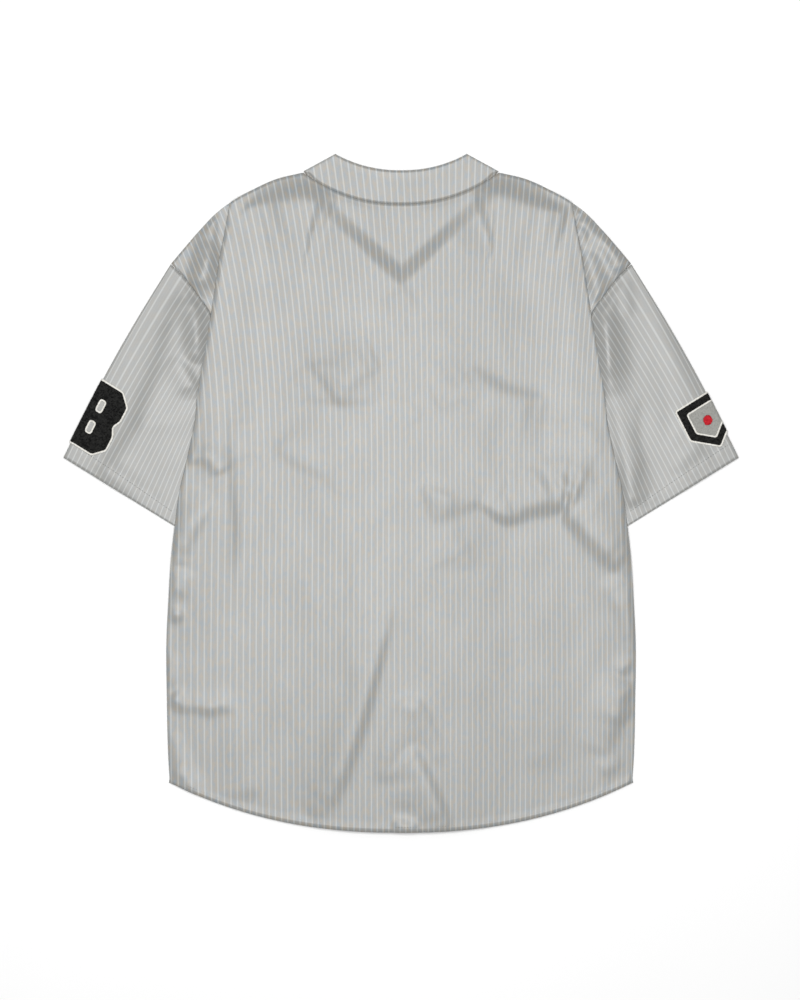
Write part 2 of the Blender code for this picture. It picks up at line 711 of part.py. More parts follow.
def main():
    """Build the jersey."""
    clear_scene()
    collection = bpy.data.collections.new(COLLECTION_NAME)
    bpy.context.scene.collection.children.link(collection)
    satin = make_material(SATIN)
    pile = make_material(PILE_BLACK)
    resin = make_material(BUTTON_RESIN)
    make_back(collection, satin)
    make_front("front_left", -1.0, OUTER_FRONT_RISE, collection, satin)
    make_front("front_right", 1.0, UNDER_FRONT_RISE, collection, satin)
    make_sleeve("sleeve_left", -1.0, collection, satin)
    make_sleeve("sleeve_right", 1.0, collection, satin)
    make_band(collection, satin)
    make_numeral(collection, pile)
    make_patch(collection, pile)
    for index in range(BUTTON_COUNT):
        make_button(f"button_{index + 1}", BUTTON_TOP_Y - index * BUTTON_PITCH, collection, resin)


main()
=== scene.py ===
"""Looks of the baseball jersey: fine cloth, creases, stitching, pile applique, light and camera.

Tables and sizes are in millimetres in the frame of the solids, unless a name says photo, which is
a pixel of the 800 by 1000 photograph. A half table gives the right side, mirrored for the left.
"""
import math
from collections import namedtuple

import bmesh
import bpy
import numpy as np
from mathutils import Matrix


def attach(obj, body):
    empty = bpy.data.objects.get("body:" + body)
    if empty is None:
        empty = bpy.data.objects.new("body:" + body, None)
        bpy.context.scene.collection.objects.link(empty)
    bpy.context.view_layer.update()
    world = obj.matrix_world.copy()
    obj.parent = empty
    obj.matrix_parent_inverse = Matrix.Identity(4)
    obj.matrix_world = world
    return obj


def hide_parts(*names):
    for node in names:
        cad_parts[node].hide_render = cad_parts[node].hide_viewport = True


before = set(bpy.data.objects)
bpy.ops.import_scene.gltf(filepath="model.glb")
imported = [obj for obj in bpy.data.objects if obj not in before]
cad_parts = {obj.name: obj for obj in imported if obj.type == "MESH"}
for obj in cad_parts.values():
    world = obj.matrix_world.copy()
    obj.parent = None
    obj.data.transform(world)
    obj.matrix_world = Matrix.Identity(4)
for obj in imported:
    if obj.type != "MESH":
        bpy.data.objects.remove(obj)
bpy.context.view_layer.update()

bl_info = {
    "name": "Laid Baseball Jersey",
    "version": (1, 0, 0),
    "blender": (4, 5, 0),
    "location": "View3D > Sidebar > Jersey",
    "description": "Builds a satin baseball jersey laid face down, with its stage",
    "category": "Add Mesh",
}

METRES = 0.001
PHOTO_SCALE = 1.16
PHOTO_CENTRE = (401.0, 493.0)

Station = namedtuple("Station", "y x")
Span = namedtuple("Span", "start end count")
Crest = namedtuple("Crest", "px py width height")
Fold = namedtuple("Fold", "side tail crests")

# Cloth thickness and layers, as in the solids
CLOTH = 1.2
SEAM_GAP = 0.3
LAYER = CLOTH + SEAM_GAP
FOLD_RADIUS = LAYER / 2
FOLD_INSET = FOLD_RADIUS + CLOTH / 2
EDGE_CLEARANCE = 0.2
ON_FLOOR = CLOTH / 2
ON_FRONT = ON_FLOOR + LAYER
OVER_RETURN = ON_FLOOR + 3 * LAYER

# Body
HEM_CORNER_Y = -336.2
HEM_LOW_Y = -393.5
HEM_HALF_WIDTH = 267.2
HEM_POWER = 2.3
PLEAT_TOP_Y = 336.0
ARMHOLE_TOP_Y = 266.0
UNDERARM_Y = 85.0
BODY_EASE = 0.3
UNDERARM_EASE = 2.6
UNDERARM_EASE_LENGTH = 40.0
TUCK_BLEND = 42.0
TOP_EDGE_BLEND = 22.0
TOP_EDGE_FOLD_BLEND = 9.0
FOLD_EDGE_FADE = 4.0
SIDE_RISE_Y = -190.0
RETURN_DOWN_Y = -90.0
RETURN_UP_Y = -66.0
SEAM_LAPPED_Y = 60.0
SEAM_FLAT_Y = 36.0
RETURN_RAMP = 9.0
RETURN_RAMP_SHARE = 0.66

# Neck
NECK_TIP = (75.7, 393.5)
NECK_CORNER = (113.0, 373.2)
NECK_SEAM_LOW = 335.1
NECK_SEAM_RISE = 36.3
NECK_HALF_WIDTH = 113.6
NECK_EDGE_LOW = 374.0
NECK_POWER = 2.2
NECK_GAP = 0.05
V_SEAM_Y = 241.2
V_EDGE_Y = 299.0

# Front closure
PLACKET_HALF = 15.0
PLACKET_FLAT_HALF = 27.0
PLACKET_RAMP = 30.0
PLACKET_RAMP_FADE = 34.0
OUTER_FRONT_RISE = 2.5
UNDER_FRONT_RISE = OUTER_FRONT_RISE + LAYER
PLACKET_COVER = ON_FLOOR + UNDER_FRONT_RISE + LAYER + EDGE_CLEARANCE
PLACKET_COVER_HALF = 28.0
PLACKET_COVER_RAMP = 130.0
PLACKET_COVER_END_Y = 238.0
PLACKET_COVER_FADE = 30.0
PLACKET_COVER_V = 0.9

# Sleeves
SLEEVE_TIP = (391.4, 41.0)
SLEEVE_OPENING = 195.0
SLEEVE_HEM_ACROSS = (-0.851, -0.525)
SLEEVE_OUTWARD = (0.873, 0.487)
SLEEVE_LENGTH = 257.0
SLEEVE_BULGE = 4.0
SLEEVE_TOP = (266.1, 264.3)
SLEEVE_LIFT_END = 60.0
SLEEVE_LIFT_FADE = 40.0
SLEEVE_LIFT_START = 0.3

# Pile applique
PILE = 1.2
PILE_RADIUS = FOLD_INSET + SEAM_GAP + PILE / 2
PILE_QUARTER = PILE_RADIUS * math.pi / 2
SLEEVE_LIFT = PILE + SEAM_GAP
NUMERAL_LEFT = -14.0
NUMERAL_BASE = 20.0
NUMERAL_WIDTH = 57.0
NUMERAL_HEIGHT = 81.0
NUMERAL_CHAMFER = 13.0
NUMERAL_STROKE = 25.0
NUMERAL_END_STROKE = 20.0
NUMERAL_BAR = 13.0
NUMERAL_WAIST = 5.0
NUMERAL_WAIST_SLOPE = 0.5
PATCH_CENTRE = 15.0
PATCH_HALF_WIDTH = 29.0
PATCH_BASE = 22.0
PATCH_HEIGHT = 62.0
PATCH_POINT = 24.0
PATCH_FIELD = 0.64
PATCH_FIELD_CENTRE = 0.55
PATCH_DOT_RADIUS = 5.5
EDGE_CORD = 1.15
TUFT = 0.8

# Grain of the back beyond its side fold
CAP_LEAN = 0.4
CAP_PITCH = 6.9
CAP_COUNT = 20.0

# Sewing
BODY_HEM = 7.0
SLEEVE_HEM = 19.0
BAND_STITCH = 5.5
# Thread colour: the thread's own grey, darkened with painted shade of the needle holes along each stitch
# line
THREAD_WITH_PAINTED_SHADE = (0.2, 0.205, 0.195)
STITCH_REACH = 0.97
STITCH_POINTS = 120
BAND_EDGE_WIDEN = 1.02
BAND_EDGE_RISE = 0.8
BAND_EDGE_SINK = 0.1
BAND_SEAM_SINK = 0.05
FIELD_SEED = 7
DOT_SEED = 8
STITCH_PITCH = 3.4
STITCH_LENGTH = 2.3
STITCH_WIDTH = 0.8
STITCH_HEIGHT = 0.25

SIDE_FOLD = (
    Station(336.0, 198.5), Station(300.0, 205.0), Station(278.0, 209.5), Station(246.0, 214.5),
    Station(210.0, 220.0), Station(176.0, 226.0), Station(140.0, 232.0), Station(118.0, 235.8),
    Station(88.0, 238.5), Station(32.0, 250.0), Station(4.0, 256.5), Station(-38.5, 262.5),
    Station(-78.0, 266.8), Station(-124.0, 269.7), Station(-170.0, 272.0), Station(-240.0, 271.5),
    Station(-310.0, 269.7), Station(-336.2, 268.0),
)
SHOULDER = (
    Station(371.4, 113.6), Station(363.0, 147.0), Station(351.5, 172.0), Station(340.0, 193.0),
    Station(328.0, 210.0), Station(305.0, 233.0), Station(282.0, 253.0), Station(266.0, 266.5),
)
ARMHOLE = (
    Station(266.0, 266.5), Station(249.0, 250.5), Station(228.0, 234.5), Station(208.0, 221.0),
    Station(180.0, 213.0), Station(150.0, 209.0), Station(120.0, 208.0), Station(100.0, 209.5),
    Station(85.0, 212.0),
)
TUCK = (
    Station(336.0, 195.0), Station(300.0, 197.0), Station(266.0, 198.0), Station(208.0, 200.0),
    Station(150.0, 203.0), Station(100.0, 203.0), Station(85.0, 204.0),
)
SIDE_SEAM = (
    Station(60.0, 199.0), Station(0.0, 204.0), Station(-66.0, 212.5), Station(-90.0, 219.0),
    Station(-170.0, 238.0), Station(-250.0, 250.0), Station(-310.0, 257.0),
    Station(-336.2, 260.0),
)
BODY_SPANS = (
    Span(HEM_CORNER_Y, RETURN_DOWN_Y, 66), Span(RETURN_DOWN_Y, RETURN_UP_Y, 6),
    Span(RETURN_UP_Y, SEAM_LAPPED_Y, 34), Span(SEAM_LAPPED_Y, UNDERARM_Y, 6),
    Span(UNDERARM_Y, 208.0, 34), Span(208.0, ARMHOLE_TOP_Y, 16),
)
PLEAT_SPAN = Span(ARMHOLE_TOP_Y, PLEAT_TOP_Y, 22)
MAIN_COLUMNS = 150
TURN_STEPS = 6
RETURN_STEPS = 6
CAP_STEPS = 18

# Folds traced on the photo: a rise of some height over some width, on the side named
BODY_FOLDS = (
    Fold(-1, 60, (
        (238, 207, 6, 0), (250, 204, 8, 1.5), (262, 200, 10, 3.1), (280, 194, 13, 5.1),
        (300, 190, 16, 5.8), (318, 191, 15, 4.8), (330, 195, 12, 2), (340, 199, 10, 0),
    )),
    Fold(-1, 60, (
        (470, 190, 10, 0), (482, 187, 12, 3.7), (497, 186, 14, 5.8), (512, 190, 14, 6.1),
        (530, 198, 12, 5.8), (548, 205, 10, 4.8), (562, 208, 8, 2.4), (570, 210, 6, 0),
    )),
    Fold(-1, 34, (
        (326, 220, 8, 0), (338, 225, 8, 0.3), (350, 233, 8, 0.5), (362, 245, 9, 0.6),
        (378, 262, 9, 0.8), (392, 275, 10, 0.9), (405, 283, 12, 1), (418, 268, 9, 0.8),
        (430, 252, 9, 0.9), (442, 236, 9, 0.8), (452, 222, 9, 0.4), (464, 211, 8, 0),
    )),
    Fold(-1, 20, (
        (380, 300, 8, 0), (390, 296, 9, 0.8), (402, 292, 10, 0.8), (412, 286, 8, 0),
    )),
    Fold(1, 40, (
        (334, 405, 10, 0), (342, 399, 13, 1.4), (352, 388, 16, 2.7), (365, 376, 14, 2.4),
        (375, 371, 9, 1.3), (384, 367, 7, 0),
    )),
    Fold(1, 40, (
        (275, 399, 6, 0), (295, 400, 7, 0.6), (320, 401, 9, 1.3), (345, 404, 10, 1.6),
        (370, 401, 8, 0.8), (384, 399, 7, 0),
    )),
    Fold(-1, 26, (
        (288, 380, 6, 0), (300, 371, 7, 0.5), (315, 364, 8, 0.8), (330, 363, 7, 0.5), (344, 366, 6, 0),
    )),
    Fold(-1, 42, (
        (466, 364, 8, 0), (476, 370, 10, 1.4), (488, 379, 14, 2.4), (505, 388, 14, 2.7),
        (525, 393, 14, 2.7), (540, 396, 11, 1.4), (554, 400, 8, 0),
    )),
    Fold(1, 30, (
        (436, 414, 10, 0), (446, 409, 14, 1.4), (458, 402, 16, 1.8), (470, 393, 13, 1),
        (480, 386, 8, 0),
    )),
    Fold(-1, 18, (
        (398, 390, 7, 0), (408, 401, 8, 0.8), (418, 411, 8, 0.8), (426, 418, 6, 0),
    )),
    Fold(1, 16, (
        (396, 336, 8, 0), (404, 334, 10, 0.7), (412, 332, 8, 0),
    )),
    Fold(-1, 18, (
        (420, 484, 6, 0), (428, 486, 7, 0.9), (437, 490, 8, 1.4), (448, 494, 8, 1.1), (462, 499, 6, 0),
    )),
    Fold(1, 46, (
        (426, 522, 8, 0), (438, 519, 12, 1.2), (452, 514, 14, 1.8), (466, 508, 12, 1.9),
        (478, 505, 10, 2.2), (488, 511, 9, 3), (496, 517, 9, 3.5), (506, 521, 9, 3.8),
        (517, 520, 10, 3), (528, 513, 13, 3.9), (545, 510, 14, 4.9), (558, 508, 12, 4.1),
        (566, 509, 8, 1.6), (572, 512, 6, 0),
    )),
    Fold(1, 46, (
        (560, 520, 8, 0), (568, 522, 11, 3), (577, 529, 13, 4.3), (588, 543, 15, 5.1),
        (600, 556, 15, 5.1), (611, 565, 13, 3.8), (620, 572, 9, 1.4), (628, 578, 6, 0),
    )),
    Fold(-1, 26, (
        (446, 524, 12, 0), (456, 534, 16, 1.2), (466, 544, 16, 1.5), (472, 556, 14, 0.8),
        (474, 572, 10, 0),
    )),
    Fold(1, 30, (
        (596, 580, 10, 0), (606, 594, 12, 1.4), (616, 610, 13, 2.4), (623, 630, 13, 2.4),
        (626, 646, 10, 1.4), (628, 660, 7, 0),
    )),
    Fold(1, 10, (
        (618, 678, 5, 0), (625, 672, 6, 1.6), (631, 666, 6, 1.6), (637, 658, 4, 0),
    )),
    Fold(1, 26, (
        (604, 762, 9, 0), (610, 748, 11, 1.4), (617, 730, 11, 2.2), (621, 712, 10, 3.2),
        (626, 700, 9, 3.5), (632, 692, 7, 2.2), (637, 684, 4, 0),
    )),
    Fold(1, 10, (
        (616, 728, 5, 0), (623, 720, 6, 1.6), (629, 713, 6, 1.6), (636, 708, 4, 0),
    )),
    Fold(1, 14, (
        (602, 778, 7, 0), (609, 773, 8, 1.2), (617, 768, 8, 0.9), (624, 766, 6, 0),
    )),
    Fold(1, 10, (
        (520, 466, 5, 0), (527, 477, 6, 0.7), (535, 489, 7, 0.9), (544, 500, 6, 0.5), (550, 506, 4, 0),
    )),
    Fold(1, 10, (
        (536, 458, 5, 0), (546, 470, 6, 0.7), (556, 483, 6, 0.9), (566, 493, 6, 1.6),
        (572, 500, 5, 0.7), (576, 506, 4, 0),
    )),
    Fold(1, 10, (
        (553, 461, 5, 0), (564, 468, 5, 0.5), (575, 476, 6, 0.7), (586, 483, 6, 0.5), (594, 488, 4, 0),
    )),
    Fold(1, 14, (
        (570, 422, 8, 0), (578, 430, 9, 0.8), (586, 440, 9, 0.9), (592, 450, 7, 0.4), (596, 458, 5, 0),
    )),
    Fold(1, 18, (
        (234, 455, 7, 0), (246, 456, 8, 0.7), (258, 458, 7, 0.4), (266, 460, 6, 0),
    )),
    Fold(1, 34, (
        (270, 444, 8, 0), (282, 455, 10, 1.1), (298, 466, 11, 1.4), (314, 472, 10, 1.2),
        (326, 481, 9, 0.8), (336, 492, 8, 0.4), (346, 504, 7, 0),
    )),
    Fold(1, 16, (
        (190, 468, 5, 0), (197, 461, 8, 1.9), (206, 463, 10, 2.6), (213, 471, 8, 1.9), (217, 479, 5, 0),
    )),
    Fold(-1, 26, (
        (219, 500, 6, 0), (212, 508, 8, 1.4), (205, 519, 11, 2.7), (197, 531, 13, 3.5),
        (191, 544, 12, 3), (187, 560, 11, 1.5), (184, 572, 8, 0),
    )),
    Fold(-1, 20, (
        (194, 570, 8, 0), (190, 580, 11, 1.6), (185, 592, 12, 2), (180, 602, 8, 0.8), (176, 610, 6, 0),
    )),
    Fold(1, 9, (
        (169, 620, 5, 0), (174, 619, 7, 2.2), (180, 619, 7, 2.2), (186, 618, 5, 0),
    )),
    Fold(-1, 14, (
        (178, 652, 7, 0), (176, 664, 8, 1.1), (174, 678, 8, 1.5), (172, 692, 6, 0),
    )),
    Fold(1, 12, (
        (167, 699, 5, 0), (172, 703, 7, 2.7), (179, 709, 7, 2.4), (188, 711, 6, 0.9),
        (197, 710, 7, 1.4), (209, 713, 8, 2.2), (222, 710, 8, 1.6), (232, 713, 6, 0.5),
        (238, 714, 5, 0),
    )),
    Fold(-1, 16, (
        (177, 728, 6, 0), (182, 742, 8, 1.1), (187, 757, 9, 1.4), (191, 770, 7, 0.5), (194, 780, 5, 0),
    )),
    Fold(1, 12, (
        (168, 772, 5, 0), (176, 778, 8, 2), (186, 788, 8, 2), (196, 796, 7, 1.2), (206, 802, 5, 0),
    )),
    Fold(-1, 30, (
        (232, 216, 7, 0), (231, 232, 8, 1.4), (226, 260, 9, 1.1), (223, 300, 11, 0.9),
        (223, 350, 12, 0.9), (225, 400, 10, 1.1), (228, 440, 9, 1.4), (232, 490, 8, 1.6),
        (236, 530, 8, 1.6), (236, 575, 8, 1.1), (237, 620, 8, 0.5), (239, 670, 8, 0.5),
        (245, 720, 9, 0.9), (250, 755, 9, 1.2), (256, 785, 8, 1.2), (260, 800, 6, 0),
    )),
    Fold(-1, 30, (
        (396, 596, 5, 0), (391, 622, 6, 1), (385, 646, 8, 2.2), (376, 680, 9, 3.2), (367, 714, 10, 3.8),
        (357, 746, 11, 4), (347, 775, 11, 3.6), (337, 797, 11, 2.6), (327, 811, 10, 1.2),
        (316, 824, 8, 0),
    )),
    Fold(1, 30, (
        (352, 560, 8, 0), (348, 600, 9, 0.5), (344, 640, 10, 0.5), (338, 680, 10, 0),
    )),
    Fold(1, 26, (
        (402, 690, 9, 0), (395, 705, 11, 1.2), (387, 728, 12, 1.6), (379, 752, 12, 1.6),
        (376, 768, 9, 1.2), (374, 784, 7, 0),
    )),
    Fold(-1, 18, (
        (404, 690, 7, 0), (412, 697, 9, 1.2), (420, 700, 9, 1.6), (428, 712, 8, 1.1),
        (436, 732, 8, 1.1), (442, 750, 7, 0.7), (446, 766, 6, 0),
    )),
    Fold(-1, 26, (
        (410, 744, 5, 0), (417, 751, 7, 1.9), (426, 768, 9, 3), (435, 788, 9, 3.2), (443, 806, 9, 3.2),
        (449, 820, 8, 1.9), (453, 829, 5, 0),
    )),
    Fold(-1, 9, (
        (390, 821, 5, 0), (397, 820, 7, 2.7), (405, 822, 8, 3.5), (413, 823, 7, 2.2), (420, 824, 5, 0),
    )),
    Fold(-1, 16, (
        (410, 776, 7, 0), (412, 790, 9, 0.9), (412, 802, 8, 0.8), (410, 812, 6, 0),
    )),
    Fold(1, 34, (
        (512, 520, 7, 0), (513, 545, 8, 0.7), (516, 600, 9, 0.7), (518, 660, 10, 0.9),
        (521, 720, 10, 1.2), (524, 752, 8, 0.8), (526, 775, 6, 0),
    )),
)
CAP_FOLDS = (
    Fold(-1, 14, (
        (220, 214, 5, 0), (216, 224, 6, 2), (215, 240, 7, 3.1), (215, 260, 8, 5.1), (214, 274, 7, 3.4),
        (212, 290, 6, 1.5), (209, 302, 5, 0),
    )),
    Fold(1, 14, (
        (200, 238, 5, 0), (199, 250, 7, 2.7), (197, 264, 9, 4.8), (193, 277, 9, 5.4), (189, 285, 6, 2),
        (186, 290, 5, 0),
    )),
    Fold(1, 10, (
        (556, 224, 5, 0), (562, 221, 7, 2.4), (569, 217, 7, 3.1), (577, 212, 6, 2), (583, 208, 4, 0),
    )),
    Fold(1, 12, (
        (572, 220, 5, 0), (579, 227, 7, 2.5), (587, 234, 8, 2.7), (594, 239, 6, 1.5), (599, 243, 5, 0),
    )),
    Fold(1, 16, (
        (584, 248, 6, 0), (592, 247, 9, 2.5), (602, 250, 11, 4.1), (608, 259, 10, 4.8),
        (612, 268, 8, 4.1), (615, 275, 6, 1.7), (617, 280, 4, 0),
    )),
    Fold(1, 14, (
        (572, 232, 5, 0), (578, 246, 7, 1.7), (585, 264, 9, 3.4), (590, 284, 9, 4.1),
        (593, 296, 8, 2.7), (595, 306, 5, 0),
    )),
)
LEFT_SLEEVE_FOLDS = (
    Fold(1, 60, (
        (192, 276, 8, 0), (184, 287, 12, 1.6), (173, 308, 15, 2.8), (164, 340, 15, 3),
        (154, 372, 15, 3), (143, 400, 16, 3.2), (130, 428, 16, 3.2), (115, 452, 15, 2.8),
        (103, 467, 14, 1.8), (94, 478, 10, 0),
    )),
    Fold(-1, 14, (
        (197, 294, 5, 0), (199, 306, 7, 2.3), (202, 322, 8, 4.6), (204, 340, 9, 6.5),
        (203, 354, 8, 4.2), (201, 366, 6, 0),
    )),
    Fold(-1, 18, (
        (174, 352, 6, 0), (182, 361, 8, 1.4), (190, 372, 8, 2.2), (196, 383, 8, 3.2),
        (199, 393, 6, 1.1), (200, 400, 5, 0),
    )),
    Fold(-1, 16, (
        (134, 414, 5, 0), (146, 417, 7, 0.6), (165, 418, 7, 0.7), (184, 416, 7, 0.6), (196, 413, 5, 0),
    )),
    Fold(-1, 16, (
        (170, 318, 5, 0), (176, 328, 7, 0.6), (182, 338, 6, 0),
    )),
)
RIGHT_SLEEVE_FOLDS = (
    Fold(1, 18, (
        (592, 300, 5, 0), (595, 312, 7, 2.9), (598, 328, 9, 5.8), (600, 346, 9, 7.2),
        (602, 366, 9, 6.8), (605, 384, 9, 4.3), (609, 402, 10, 2.5), (613, 428, 10, 2),
        (618, 452, 9, 2), (623, 478, 8, 3.2), (626, 498, 7, 3.2), (629, 512, 6, 0),
    )),
    Fold(-1, 16, (
        (618, 286, 5, 0), (615, 300, 7, 1.4), (614, 325, 8, 1.7), (614, 350, 9, 1.7),
        (612, 375, 10, 1.4), (611, 400, 10, 0.8), (612, 420, 8, 0),
    )),
    Fold(-1, 14, (
        (626, 274, 5, 0), (629, 290, 8, 1.2), (632, 306, 8, 1.4), (633, 322, 6, 0),
    )),
    Fold(1, 50, (
        (640, 284, 10, 0), (648, 310, 14, 0.8), (658, 345, 16, 1.2), (668, 378, 15, 1.3),
        (675, 405, 13, 1.3), (676, 425, 12, 1.1), (670, 442, 10, 0.7), (662, 456, 8, 0),
    )),
    Fold(-1, 20, (
        (640, 392, 6, 0), (638, 410, 9, 0.9), (637, 435, 9, 1), (641, 462, 9, 1.3), (638, 484, 8, 0.8),
        (634, 498, 6, 0),
    )),
    Fold(1, 16, (
        (700, 436, 6, 0), (690, 444, 8, 1.2), (681, 452, 8, 1.3), (674, 462, 7, 0.8), (668, 470, 5, 0),
    )),
)
UNEVEN_WAVES = 26
UNEVEN_HEIGHT = 0.18
UNEVEN_SEED = 11


def smooth(share):
    """Ease a share from 0 to 1, and hold it outside that range."""
    held = np.clip(share, 0.0, 1.0)
    return held * held * (3.0 - 2.0 * held)


def mix(first, second, share):
    """Blend two values."""
    return first + (second - first) * share


def side_at(stations, y):
    """Read x from a half table at a height y, on a smooth curve through its stations."""
    ordered = sorted(stations)
    heights = np.array([station.y for station in ordered])
    sides = np.array([station.x for station in ordered])
    slopes = np.gradient(sides, heights)
    held = np.clip(y, heights[0], heights[-1])
    index = np.clip(np.searchsorted(heights, held) - 1, 0, len(heights) - 2)
    step = heights[index + 1] - heights[index]
    t = (held - heights[index]) / step
    first = (2 * t ** 3 - 3 * t ** 2 + 1) * sides[index]
    second = (3 * t ** 2 - 2 * t ** 3) * sides[index + 1]
    bend = (t ** 3 - 2 * t ** 2 + t) * slopes[index] + (t ** 3 - t ** 2) * slopes[index + 1]
    return first + second + bend * step


def shoulder_y(x):
    """Height of the shoulder seam at a distance x from the centre."""
    turned = [Station(station.x, station.y) for station in SHOULDER]
    return side_at(turned, x)


def neck_seam_y(x):
    """Height of the seam between the back and its neck band."""
    return NECK_SEAM_LOW + NECK_SEAM_RISE * (np.abs(x) / NECK_HALF_WIDTH) ** NECK_POWER


def hem_y(x):
    """Height of the curved hem."""
    return HEM_LOW_Y + (HEM_CORNER_Y - HEM_LOW_Y) * (np.abs(x) / HEM_HALF_WIDTH) ** HEM_POWER


def back_top_y(x):
    """Height of the back panel's top edge: the neck seam, then the shoulder."""
    away = np.abs(x)
    return np.where(away <= NECK_HALF_WIDTH, neck_seam_y(x), shoulder_y(away))


def rows_of(spans):
    """List the row heights that a set of spans gives, each once."""
    rows = [spans[0].start]
    for span in spans:
        rows += [mix(span.start, span.end, step / span.count)
                 for step in range(1, span.count + 1)]
    return rows


def photo_point(px, py):
    """Turn a pixel of the photo into millimetres of the plan."""
    return ((px - PHOTO_CENTRE[0]) * PHOTO_SCALE, (PHOTO_CENTRE[1] - py) * PHOTO_SCALE)


def fold_height(fold, x, y):
    """Height of one fold: a rise along its crests, dying away on the high side."""
    crests = [photo_point(crest.px, crest.py) + (crest.width * PHOTO_SCALE, crest.height)
              for crest in map(Crest._make, fold.crests)]
    nearest = np.full(np.shape(x), np.inf)
    away = np.zeros(np.shape(x))
    width = np.ones(np.shape(x))
    height = np.zeros(np.shape(x))
    for first, second in zip(crests, crests[1:]):
        run = (second[0] - first[0], second[1] - first[1])
        past = (x - first[0]) * run[0] + (y - first[1]) * run[1]
        share = np.clip(past / (run[0] ** 2 + run[1] ** 2), 0.0, 1.0)
        off_x = x - first[0] - share * run[0]
        off_y = y - first[1] - share * run[1]
        distance = np.hypot(off_x, off_y)
        closer = distance < nearest
        nearest = np.where(closer, distance, nearest)
        beside = np.sign(run[0] * off_y - run[1] * off_x) * distance
        away = np.where(closer, beside, away)
        width = np.where(closer, mix(first[2], second[2], share), width)
        height = np.where(closer, mix(first[3], second[3], smooth(share)), height)
    high = fold.side * away
    rise = 0.5 * (1.0 + np.tanh(2.0 * high / width))
    return height * rise * np.exp(-(np.maximum(high - width / 2, 0.0) / fold.tail) ** 2)


def folds_at(folds, x, y):
    """Summed height of a table of folds."""
    return sum(fold_height(fold, x, y) for fold in folds)


def uneven(x, y, seed):
    """Small soft unevenness of laid cloth, as a seeded sum of waves."""
    chance = np.random.default_rng(UNEVEN_SEED + seed)
    height = np.zeros(np.shape(x))
    for _ in range(UNEVEN_WAVES):
        wavelength = chance.uniform(24.0, 110.0)
        heading = chance.normal(0.0, 0.5)
        phase = chance.uniform(0.0, 2.0 * math.pi)
        across = x * math.cos(heading) + y * math.sin(heading)
        bend = 9.0 * np.sin(y / chance.uniform(40.0, 90.0) + phase)
        height += wavelength * np.sin((across + bend) * 2.0 * math.pi / wavelength + phase)
    return UNEVEN_HEIGHT * height / (67.0 * math.sqrt(UNEVEN_WAVES))


def side_level(y):
    """Height of the back's upper layer along its side fold."""
    share = smooth((y - SIDE_RISE_Y) / (RETURN_UP_Y - SIDE_RISE_Y))
    return mix(ON_FRONT, OVER_RETURN, share)


def tuck_x(y):
    """Distance from the centre at which the turned layer ends or turns back."""
    if y >= UNDERARM_Y:
        return side_at(TUCK, y)
    return side_at(SIDE_SEAM, y) + RETURN_RAMP


def placket_ramp(x, y):
    """Share of the closure's rise at a point, which dies away above the V of the neck."""
    across = 1.0 - smooth((np.abs(x) - PLACKET_FLAT_HALF) / PLACKET_RAMP)
    return across * (1.0 - smooth((y - V_SEAM_Y) / PLACKET_RAMP_FADE))


def armhole_edge(y):
    """Cut edge of a body panel at the armhole, eased clear of the sleeve's fold underarm."""
    ease = UNDERARM_EASE * (1.0 - smooth((y - UNDERARM_Y) / UNDERARM_EASE_LENGTH))
    return side_at(ARMHOLE, y) - EDGE_CLEARANCE - ease


def hem_relief(distance, depth):
    """Turned hem: double cloth up to the stitch line, with a groove there."""
    band = 0.45 * (1.0 - smooth((distance - depth) / 1.5))
    groove = 0.4 * np.exp(-((distance - depth + 0.8) / 1.1) ** 2)
    return band - groove


def hem_pucker(along, distance, depth):
    """Small gathers that the hem's stitches pull into the cloth."""
    wave = np.sin(along / 2.3 + 1.7 * np.sin(along / 11.0)) + 0.6 * np.sin(along / 5.1)
    return 0.16 * wave * np.exp(-((distance - depth) / 5.0) ** 2)


def back_level(x, y, side_y):
    """Height of the back's upper layer at points of the plan."""
    calm = ON_FRONT + BODY_EASE
    beside = smooth((np.abs(x) - tuck_x(side_y) + TUCK_BLEND + LAYER) / TUCK_BLEND)
    level = mix(calm, side_level(side_y), beside)
    cover = 1.0 - smooth((np.abs(x) - PLACKET_COVER_HALF) / PLACKET_COVER_RAMP)
    past_v = y - PLACKET_COVER_END_Y - PLACKET_COVER_V * np.abs(x)
    cover = cover * (1.0 - smooth(past_v / PLACKET_COVER_FADE))
    level = level + (PLACKET_COVER - calm) * cover
    below_top = smooth((back_top_y(x) - y) / TOP_EDGE_BLEND)
    level = ON_FRONT + (level - ON_FRONT) * np.maximum(below_top, beside)
    above_hem = y - hem_y(x)
    return level + hem_relief(above_hem, BODY_HEM) + hem_pucker(x, above_hem, BODY_HEM)


def body_folds(x, y):
    """Folds and unevenness of the back's upper layer, fading at its top and side edges."""
    below_top = smooth((back_top_y(x) - y) / TOP_EDGE_FOLD_BLEND)
    inside = smooth((side_at(SIDE_FOLD, y) - np.abs(x)) / FOLD_EDGE_FADE)
    calm = smooth((side_at(SIDE_FOLD, y) - np.abs(x)) / 20.0)
    rises = folds_at(BODY_FOLDS, x, y) + calm * np.maximum(uneven(x, y, 0) + 0.3, 0.0)
    return rises * inside * below_top


def turn(centre_x, top, outward):
    """Points of a half-round fold from its upper to its lower layer, both ends included."""
    angles = [math.pi * step / TURN_STEPS for step in range(TURN_STEPS + 1)]
    return [(centre_x + outward * FOLD_RADIUS * math.sin(angle),
             top - FOLD_RADIUS + FOLD_RADIUS * math.cos(angle)) for angle in angles]


